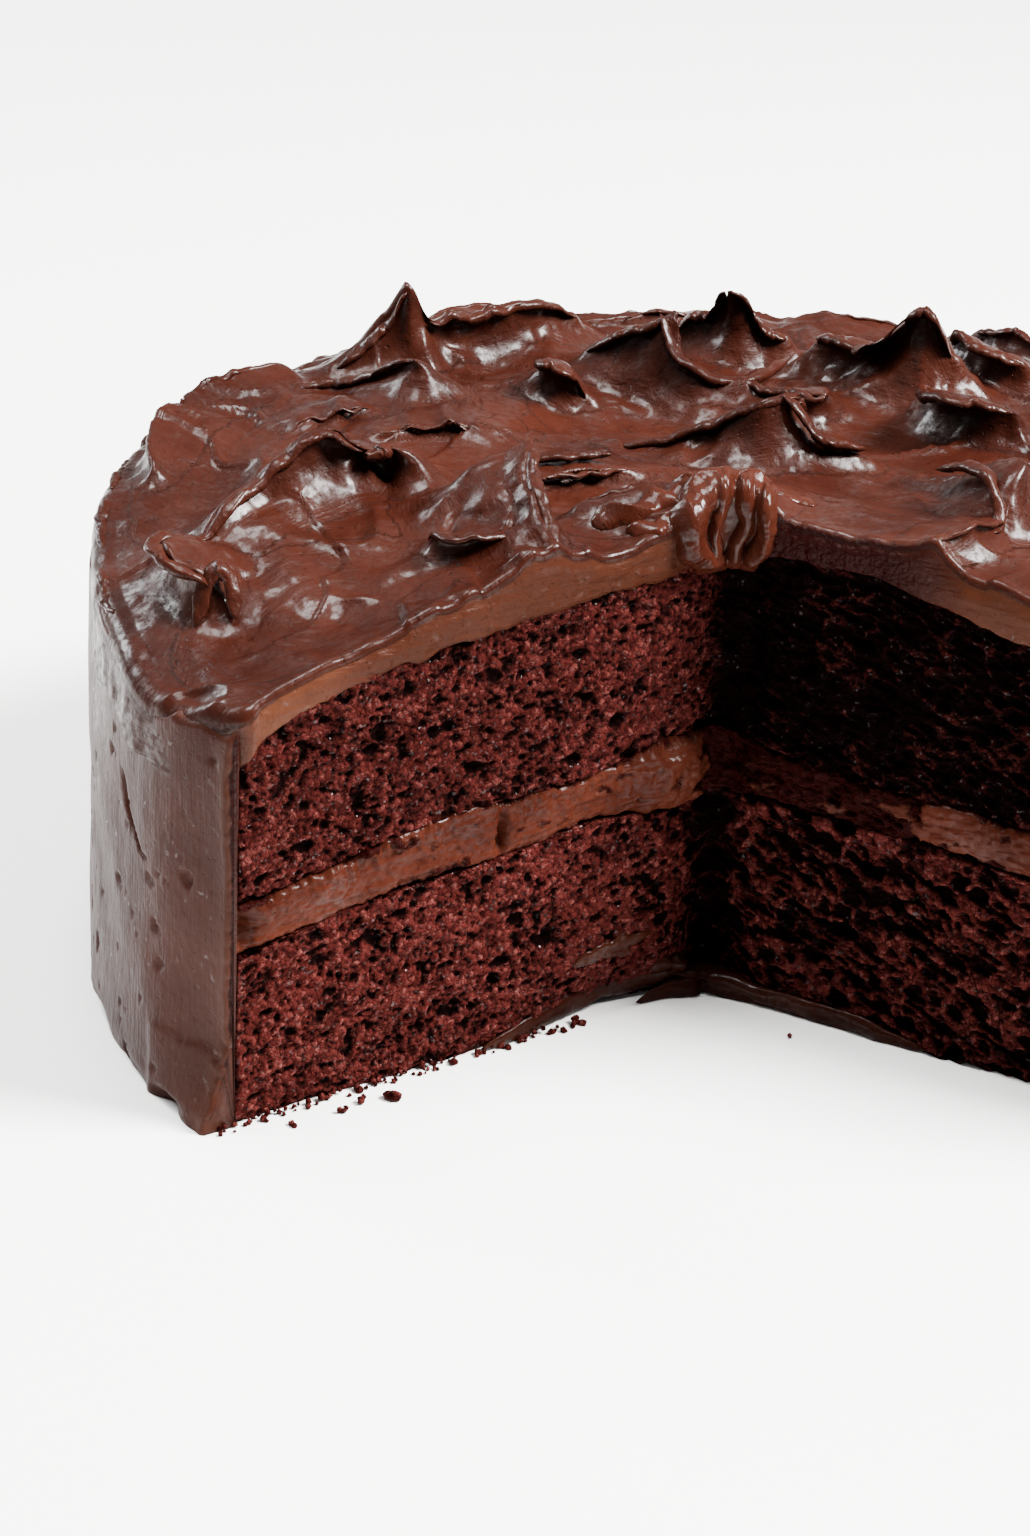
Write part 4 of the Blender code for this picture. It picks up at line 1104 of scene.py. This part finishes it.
def top_piece(material):
    """The top coat: the swirled fan, its rounded edge, the bands on the cuts, and a hidden underside.

    The edge goes down in rows, first a quarter circle and then the band, and tucks in at its foot.
    """
    ring, turn = fan_points(TOP_RINGS)
    degrees = RIGHT_CUT + turn * (LEFT_CUT - RIGHT_CUT)
    upper, flow = top_points(ring, degrees)
    edge = fan_edge(TOP_RINGS)
    ring, turn, degrees, base, edge_flow = ring[edge], turn[edge], degrees[edge], upper[edge], flow[edge]
    rim = (ring > 0.9999) & (turn > 0) & (turn < 1)
    on_rim = smoothed(rim.astype(float), 2.5)
    on_cut = 1 - on_rim
    s = ring * CUT_LENGTH * np.where(turn < 0.5, 1.0, -1.0)
    u = s * 1000
    facing = np.where(rim, np.radians(degrees), cut_facing(s))
    out = np.stack([smoothed(np.cos(facing), 1.5), smoothed(np.sin(facing), 1.5)], 1)
    out = out / np.linalg.norm(out, axis=1)[:, None]
    foot = edge_foot(base, u, turn, on_rim)
    seam = eased(degrees, 176.0, 186.0) * (1 - eased(degrees, 203.0, 209.0))
    rounding = CUT_ROUND + (RIM_ROUND - CUT_ROUND) * on_rim
    points, flows = [upper], [flow]
    dulls, films_and_shade, painted_lights = ([np.zeros(len(upper))] for _ in range(3))
    for row in range(1, ROUND_ROWS + 1):
        bend, share = 0.5 * np.pi * row / ROUND_ROWS, (row / ROUND_ROWS) ** 2
        step = (rounding * np.sin(bend))[:, None] * out
        fall = rounding * (1 - np.cos(bend))
        points.append(np.column_stack([base[:, :2] + step, base[:, 2] - fall]))
        flows.append(edge_flow)
        dulls.append(on_cut * (u > 0) * share)
        # Crumb film that is also painted shade darkens the right band's rounded edge.
        films_and_shade.append(on_cut * eased(u, 3.0, 7.0) * (1 - eased(u, 26.0, 36.0)) * share)
        painted_lights.append(np.zeros(len(edge)))
    start = points[-1]
    for row in range(1, BAND_ROWS + 1):
        share = row / BAND_ROWS
        level = start[:, 2] + share * (foot - start[:, 2])
        v = level * 1000
        step = edge_step(u, v, share, turn, on_rim, seam) / 1000
        points.append(np.column_stack([start[:, :2] + step[:, None] * out, level]))
        flows.append(np.stack([v, u], 1))
        for values, mark in zip((dulls, films_and_shade, painted_lights), band_marks(u, v, share)):
            values.append(on_cut * mark)
    last = points[-1]
    for inward, lift in TUCKS:
        points.append(np.column_stack([last[:, :2] - inward * out, last[:, 2] + lift]))
        flows.append(edge_flow)
        for values in (dulls, films_and_shade, painted_lights):
            values.append(values[-1])
    loops = [edge] + [len(upper) + k * len(edge) + np.arange(len(edge)) for k in range(len(points) - 1)]
    quads = []
    for above, under in zip(loops[:-1], loops[1:]):
        quads.append(np.stack([under, np.roll(under, -1), np.roll(above, -1), above], 1))
    solid = np.concatenate(points)
    hidden, hidden_faces, hidden_fan = cap(
        points[-1], loops[-1], lambda x, y: sponge_height(x, y) + FIT_GAP, len(solid), False
    )
    flow = np.concatenate([*flows, np.zeros((len(hidden), 2))])
    stored = {"flow": np.column_stack([flow, np.zeros(len(flow))])}
    for name, values in (("dull", dulls), ("crumbs", films_and_shade), ("pale", painted_lights)):
        stored[name] = np.clip(np.concatenate([*values, np.zeros(len(hidden))]), 0, 1)
    points = np.concatenate([solid, hidden])
    faces = [fan_faces(TOP_RINGS), *quads, *hidden_faces, hidden_fan]
    return add_piece("frosting_top", points, faces, material, "frosting", "frosting", **stored)


top_material = cream_finish(
    "top_frosting", TOP_DARK, TOP_LIGHT, roughness=0.38, shine=0.62, grain=0.00030, sheen=0.032, soft=0.17
)
top_piece(top_material)


# The rolled lips: where the spoon left the frosting, each crest ends in a soft roll that hangs a
# little to one side. Each is a strand along a crest, and a few more curl across the valleys.
STRAND_COLUMNS = 14
STRAND_ROWS = 40
WOBBLE = 0.0003
LIP_RADIUS = 0.0011
APEX_CLEAR = 0.004
CURLS = (
    # Points in mm as x, y and height over the coat, then the radius.
    (
        ((-12.5, 51.0, 13.0), (-10.0, 47.0, 8.0), (-7.5, 44.8, 5.0), (-3.0, 43.0, 4.0), (2.4, 45.5, 4.0),
         (8.0, 53.0, 4.0), (12.0, 62.0, 4.5)),
        1.1,
    ),
    (
        ((-88.5, -36.0, 1.0), (-87.5, -33.0, 6.0), (-85.5, -31.5, 7.5), (-83.5, -32.5, 5.5),
         (-82.5, -36.0, 0.5)),
        1.3,
    ),
    (((-100.5, 28.0, 1.0), (-103.0, 20.0, 2.5), (-104.0, 12.0, 0.5)), 0.9),
    (((-104.0, 8.0, 0.5), (-104.8, 1.0, 2.5), (-104.0, -7.0, 0.0)), 0.9),
    (((-92.0, 48.0, 1.0), (-97.0, 40.0, 2.8), (-100.0, 32.0, 0.5)), 0.9),
    (((-104.0, -12.0, 0.0), (-102.8, -20.0, 1.8), (-100.5, -27.0, 0.0)), 0.9),
    (((4.0, 12.0, 12.0), (7.5, 10.0, 8.5), (9.5, 9.0, 5.5), (13.5, 10.5, 4.0), (18.5, 12.5, 3.0)), 1.0),
    (((27.0, -2.0, 5.0), (31.5, -8.0, 8.0), (33.5, -14.0, 9.0), (35.0, -19.0, 4.0), (33.0, -23.0, 2.0)), 1.0),
    (((-38.0, 5.5, 3.0), (-32.0, 4.6, 4.0), (-23.5, 6.2, 3.5)), 0.8),
)


def strand(middle, wide, deep, seed):
    """A flattened strand along a line of points: an ellipse round each, thinned and frayed to its ends."""
    count = len(middle)
    along = np.linspace(0.0, 1.0, count)[:, None]
    axes = np.arange(3.0)[None] * 7.3
    middle = middle + WOBBLE * layered(along * count / 11 + 0 * axes, axes + 0 * along, seed + 5)
    turn = np.linspace(0.0, 2 * np.pi, STRAND_COLUMNS, endpoint=False)[None]
    ends = np.clip(1 - (2 * along - 1) ** 4, 0.02, 1) ** 0.7
    frayed = 1 + 0.45 * layered(along * count / 5 + 0 * turn, np.sign(np.cos(turn)) * 3.0 + 0 * along, seed)
    thick = 1 + 0.5 * layered(along * count / 3 + 0 * turn, turn + 0 * along, seed + 3)
    across = (np.cos(turn) * ends * frayed)[..., None] * wide
    out = (np.sin(turn) * ends * thick)[..., None] * deep
    points = (middle[:, None] + across + out).reshape(-1, 3)
    first = np.arange(STRAND_COLUMNS)[None]
    last = first + (count - 1) * STRAND_COLUMNS
    return points, [band_faces(count, STRAND_COLUMNS), first[:, ::-1], last]


def joined(strands):
    """Points and faces of several closed strands as one mesh."""
    points, faces, start = [], [], 0
    for made, parts in strands:
        points.append(made)
        faces += [part + start for part in parts]
        start += len(made)
    return np.concatenate(points), faces


def curve(points, rows):
    """A smooth line through points: each stretch eased by the averages of its neighbours."""
    points = np.array(points, dtype=float)
    steps = np.concatenate([[0], np.cumsum(np.linalg.norm(np.diff(points, axis=0), axis=1))])
    at = np.linspace(0.0, steps[-1], rows)
    line = np.stack([np.interp(at, steps, column) for column in points.T], 1)
    for _ in range(rows // 8):
        line[1:-1] = (line[:-2] + 2 * line[1:-1] + line[2:]) / 4
    return line


def lips_piece(material):
    """All the lips in one mesh: one along each crest that is clear of the apex, and the curls."""
    crests = [crest_points(ridge, STRAND_ROWS - 1) for ridge in RIDGES]
    curls = [curve(points, STRAND_ROWS) / 1000 for points, _ in CURLS]
    x, y, z, _ = frosting_surface(*np.concatenate(crests + curls)[:, :2].T)
    lines = np.stack([x, y, z], 1).reshape(-1, STRAND_ROWS, 3)
    sizes = [LIP_RADIUS * np.clip(crest[:, 2].max() / 0.009, 0.35, 1.0) for crest in crests]
    sizes += [radius / 1000 for _, radius in CURLS]
    leans = [np.sign(ridge[5]) for ridge in RIDGES] + [0.0] * len(CURLS)
    clear = [np.linalg.norm(crest[:, :2] - APEX, axis=1).min() for crest in crests]
    under_blob = np.flatnonzero(np.array(clear) < APEX_CLEAR)
    up = np.array([0.0, 0.0, 1.0])
    strands = []
    for number, (line, size, lean) in enumerate(zip(lines, sizes, leans)):
        if number in under_blob:
            continue
        if lean == 0.0:
            x, y, rise = curls[number - len(crests)].T
            coat = sponge_height(x, y) + FROSTING_THICK
            line = np.column_stack([x, y, np.maximum(line[:, 2], coat + rise)])
        step = np.gradient(line, axis=0)
        side = np.column_stack([step[:, 1], -step[:, 0], 0 * step[:, 0]])
        side = side / np.maximum(np.linalg.norm(side, axis=1), 1e-9)[:, None]
        line = line + size * abs(lean) * (0.75 * lean * side - 0.45 * up)
        strands.append(strand(line, side[:, None] * size * 1.25, up * size * 0.9, 400 + number))
    points, faces = joined(strands)
    return add_piece("frosting_lips", points, faces, material, "frosting", "frosting", flow=points * 1000)


lips_piece(top_material)


# The blob: a crumpled lump of wet frosting that hangs over the inner corner where both cuts meet.
# It is one folded sheet with its back and its edges sunk in the cake.
BLOB_FOLDS = (
    # Points in mm as distance along the cut and height, where heights over the edge run on back over
    # the top. Then half width and how far the fold stands out.
    (((-1.0, 94.0), (2.5, 90.5), (5.0, 87.0), (5.2, 83.5), (4.4, 80.0), (2.2, 77.2)), 1.9, 3.0),
    (((-1.5, 93.5), (-4.5, 91.0), (-8.0, 88.5), (-10.0, 84.0), (-8.5, 80.0), (-4.5, 76.8)), 2.8, 3.2),
    (((1.5, 92.0), (0.0, 88.5), (2.0, 85.0), (0.0, 81.5), (-0.5, 78.0)), 2.0, 2.8),
    (((-3.5, 90.0), (-4.0, 86.5), (-5.5, 83.5), (-4.5, 79.5)), 1.6, 2.8),
    (((-8.0, 92.5), (-11.5, 90.5), (-15.0, 89.0), (-20.0, 90.5)), 1.9, 1.7),
    (((-10.5, 86.0), (-14.5, 84.8), (-17.0, 86.0)), 1.5, 1.3),
    (((3.0, 93.5), (6.5, 92.0), (9.0, 93.0)), 1.4, 1.1),
)
BLOB_BOX = (-24.0, 12.0, 75.5, 99.0)
BLOB_GRID = (160, 116)
BLOB_ROUND = 1.6
BLOB_TURN = 9.0
BLOB_CORNER = 2.0
BLOB_EDGE = 0.15
BLOB_SUNK = 5.5
BLOB_BACK = 6.0
BLOB_FOOT = (75.5, 78.5)
SHEET_DEPTH = 0.3
# The blob's browns are lighter than the top's: painted light for its bright glints.
BLOB_LIT_DARK = (0.0115, 0.0021, 0.0010)
BLOB_LIT_LIGHT = (0.0310, 0.0078, 0.0044)


def coat_height(x, y):
    """Height of the top coat in mm on a grid of places in mm, a little lower to sink a sheet in."""
    coat = frosting_surface(x.ravel() / 1000, y.ravel() / 1000)[2]
    return coat.reshape(x.shape) * 1000 - SHEET_DEPTH


def blob_height(u, v):
    """How far the blob stands out, in mm: a low mound and folds, of which the highest counts.

    Each fold falls off from its line as 1 - (away / half width)², to the power 0.6. Noise bends
    the places and makes the heights uneven.
    """
    bend_u = u + 0.9 * layered(u / 5, v / 5, 251)
    bend_v = v + 0.9 * layered(u / 5, v / 5, 252)
    height = np.exp(-(((bend_u + 2.5) / 8.0) ** 4) - ((bend_v - 85.5) / 6) ** 4)
    for fold, wide, rise in BLOB_FOLDS:
        points = curve(fold, 24)
        away = np.hypot(bend_u[..., None] - points[:, 0], bend_v[..., None] - points[:, 1]).min(axis=-1)
        height = np.maximum(height, rise * np.clip(1 - (away / wide) ** 2, 0, 1) ** 0.6)
    return height * (0.95 + 0.30 * layered(u / 3.0, v / 3.0, 253, 1)) * eased(v, *BLOB_FOOT)


def blob_piece(material):
    """The crumpled blob over the inner corner: a sheet that lies on the top and hangs down the cut.

    Up to the coat's edge the sheet follows the cut planes, then it bends back in a quarter circle
    and follows the top. The corner's line is a hyperbola, so that it turns softly. Where the blob
    has no height, the sheet lies in the cake, and its back is in the cake all over.
    """
    columns, rows = BLOB_GRID
    left, right, low, high = BLOB_BOX
    u, v = np.meshgrid(np.linspace(left, right, columns), np.linspace(low, high, rows))
    slant = np.radians(CUT_FACES)
    facing = cut_facing(u, BLOB_TURN)
    out = np.stack([np.cos(facing), np.sin(facing)])
    cuts = np.stack([u * np.cos(slant), -np.sqrt(u**2 + BLOB_CORNER**2) * np.sin(slant)])
    line = APEX[:, None, None] * 1000 + cuts
    edge = coat_height(*(line - out))
    turn = np.clip((v - edge + BLOB_ROUND) / BLOB_ROUND, 0, 0.5 * np.pi)
    behind = np.maximum(v - edge + BLOB_ROUND * (1 - 0.5 * np.pi), 0)
    place = line - (BLOB_ROUND * (1 - np.cos(turn)) + behind) * out
    level = np.minimum(v, edge - BLOB_ROUND) + BLOB_ROUND * np.sin(turn)
    level = level + (coat_height(*place) - edge) * np.clip(behind / 2, 0, 1)
    height = blob_height(u, v)
    sunk = BLOB_EDGE - BLOB_SUNK * (BLOB_EDGE - height) / BLOB_EDGE
    front = np.where(height > BLOB_EDGE, height, sunk)
    normal = np.stack([*(out * np.cos(turn)), np.sin(turn)])
    sheet = np.stack([*place, level])
    solid = np.stack([sheet + front * normal, sheet - BLOB_BACK * normal])
    points = np.moveaxis(solid, 1, -1).reshape(-1, 3) / 1000
    number = np.arange(rows * columns).reshape(rows, columns)
    quads = np.stack([number[:-1, :-1], number[:-1, 1:], number[1:, 1:], number[1:, :-1]], -1).reshape(-1, 4)
    rim = np.concatenate([number[0], number[1:, -1], number[-1, -2::-1], number[-2:0:-1, 0]])
    hidden = rim + rows * columns
    wall = np.stack([rim, hidden, np.roll(hidden, -1), np.roll(rim, -1)], -1)
    faces = [quads, quads[:, ::-1] + rows * columns, wall]
    return add_piece("apex_blob", points, faces, material, "frosting", "frosting", flow=points * 1000)


blob_material = cream_finish(
    "blob_frosting", BLOB_LIT_DARK, BLOB_LIT_LIGHT, roughness=0.32, shine=0.85, grain=0.00022, sheen=0.020, soft=0.13
)
blob_piece(blob_material)


# Loose bits: thin smears of frosting that the knife left on the lower sponge and along the foot, as
# flattened strands, and the crumbs that fell on the floor or hang at the foot of the left cut.
SMEARS = (
    # Points in mm as distance along the cut (under 0 on the left one) and height, half width, depth.
    (((-26.5, 11.2), (-20.0, 12.6), (-11.0, 13.6)), 1.3, 0.55),
    (((-23.0, 12.8), (-19.0, 11.6), (-15.0, 11.0)), 0.9, 0.60),
    (((-44.0, 0.8), (-22.0, 2.6), (-4.0, 4.2)), 2.0, 0.8),
    (((-16.0, 4.5), (-9.0, 6.0), (-3.0, 5.0)), 1.6, 0.8),
    (((-6.0, 4.0), (9.0, 2.2), (40.0, 0.9)), 1.7, 0.9),
    (((-13.0, 0.8), (0.0, 1.2), (22.0, 0.6)), 2.0, 0.6),
)
# The number of the strand above that fills the corner's foot, which isn't rubbed away.
FOOT_FILM = 5
CORNER_FILL = 1.6
CORNER_FILL_WIDTH = 0.006
SMEAR_DARK = (0.0060, 0.0011, 0.0006)
SMEAR_LIGHT = (0.0210, 0.0052, 0.0026)
FALLEN = (
    # x and y in mm, size of the heap, number of crumbs and radius of a crumb.
    (-56.9, -50.7, 0.9, 7, 0.75),
    (-64.7, -54.4, 0.8, 4, 0.55),
    (-62.2, -51.4, 0.8, 3, 0.60),
    (-72.3, -58.9, 0.5, 2, 0.50),
    (8.2, -30.1, 0.2, 1, 0.45),
)
FOOT_CRUMBS = 130
CRUMB_GRID = (4, 7)


def on_cuts(places):
    """A smooth line on the cut planes through places in mm, with its directions out and across."""
    s, z = (curve(places, STRAND_ROWS) / 1000).T
    facing = cut_facing(s)
    out = np.stack([np.cos(facing), np.sin(facing), 0 * s], 1)
    line = np.column_stack([cut_places(s), z])
    across = np.cross(np.gradient(line, axis=0), out)
    return line, out, across / np.linalg.norm(across, axis=1)[:, None], s


def smears_piece(material):
    """All the strands in one mesh: those on the cut faces, and the film that rounds off the corner's foot.

    Near the inner corner, where the crumb is torn back, a strand is deeper by a bell of the
    distance. Low down on the left cut, where the foot is rubbed away, it lies further in.
    """
    strands = []
    for number, (places, wide, deep) in enumerate(SMEARS):
        line, out, across, s = on_cuts(places)
        corner = CORNER_FILL * np.exp(-((s / CORNER_FILL_WIDTH) ** 2))
        rubbed = 3.0 * np.exp(-(((s + 0.020) / 0.014) ** 2)) * (line[:, 2] < 0.007) * (number != FOOT_FILM)
        line = line + (0.1 + 0.3 * corner - rubbed)[:, None] / 1000 * out
        deep = (deep + 1.2 * corner)[:, None, None] / 1000
        made, parts = strand(line, across[:, None] * wide / 1000, out[:, None] * deep, 210 + number)
        made[:, 2] = np.maximum(made[:, 2], 2 * FLOOR_LIFT)
        strands.append((made, parts))
    points, faces = joined(strands)
    return add_piece("smears", points, faces, material, None, "frosting", flow=points * 1000)


def fallen_crumbs():
    """Places and sizes in mm of the crumbs in the fallen heaps."""
    heaps, start = [], 0
    for x, y, spread, count, size in FALLEN:
        k = start + np.arange(count)
        start += count
        at_x, at_y = (at + spread * 2.2 * (lattice(k, 0, seed) - 0.5) for at, seed in ((x, 301), (y, 302)))
        high = size * (0.5 + 0.7 * lattice(k, 0, 303))
        heaps.append(np.stack([at_x, at_y, high, size * (0.6 + 0.7 * lattice(k, 0, 304))], 1))
    return np.concatenate(heaps)


def foot_crumbs():
    """Places and sizes in mm of the ragged row of crumbs along the foot of the left cut."""
    k = np.arange(FOOT_CRUMBS)
    cut, facing = np.radians(LEFT_CUT), np.radians(LEFT_CUT + 90.0)
    s = 24 + 68 * lattice(k, 1, 305)
    size = 0.28 + 0.42 * lattice(k, 1, 306) ** 2
    out = -0.4 + 1.7 * lattice(k, 1, 307) ** 2
    x = APEX[0] * 1000 + s * np.cos(cut) + out * np.cos(facing)
    y = APEX[1] * 1000 + s * np.sin(cut) + out * np.sin(facing)
    high = size * (0.6 + 1.5 * lattice(k, 1, 308) * (out < 0.3))
    return np.stack([x, y, high, size], 1)


def crumbs_piece(material):
    """Crumbs as small lumpy balls, each a few rings round an upright axis with noise on its radius."""
    crumbs = np.concatenate([fallen_crumbs(), foot_crumbs()]) / 1000
    number = np.arange(len(crumbs))
    rows, columns = CRUMB_GRID
    high = np.linspace(-0.4 * np.pi, 0.4 * np.pi, rows)[:, None] + 0 * np.arange(columns)
    turn = 2 * np.pi * np.arange(columns)[None] / columns + 0 * high
    ball = np.stack([np.cos(high) * np.cos(turn), np.cos(high) * np.sin(turn), np.sin(high)], -1)
    ball = ball.reshape(-1, 3)
    count = len(ball)
    lumpy = 1 + 0.55 * (lattice(number[:, None], np.arange(count)[None], 311) - 0.5)
    points = crumbs[:, None, :3] + ball[None] * (lumpy * crumbs[:, 3:])[..., None]
    points[..., 2] = np.maximum(points[..., 2], 1.5 * FLOOR_LIFT)
    first = number[:, None] * count
    quads = (first[..., None] + band_faces(rows, columns)[None]).reshape(-1, 4)
    foot = first + np.arange(columns)[None, ::-1]
    top = first + (rows - 1) * columns + np.arange(columns)[None]
    points = points.reshape(-1, 3)
    pore = np.zeros(len(points))
    return add_piece("loose_crumbs", points, [quads, foot, top], material, None, "sponge", pore=pore)


smear_material = cream_finish(
    "smeared_frosting", SMEAR_DARK, SMEAR_LIGHT, roughness=0.35, shine=0.45, grain=0.00020
)
smears_piece(smear_material)
crumbs_piece(lower_crumb)
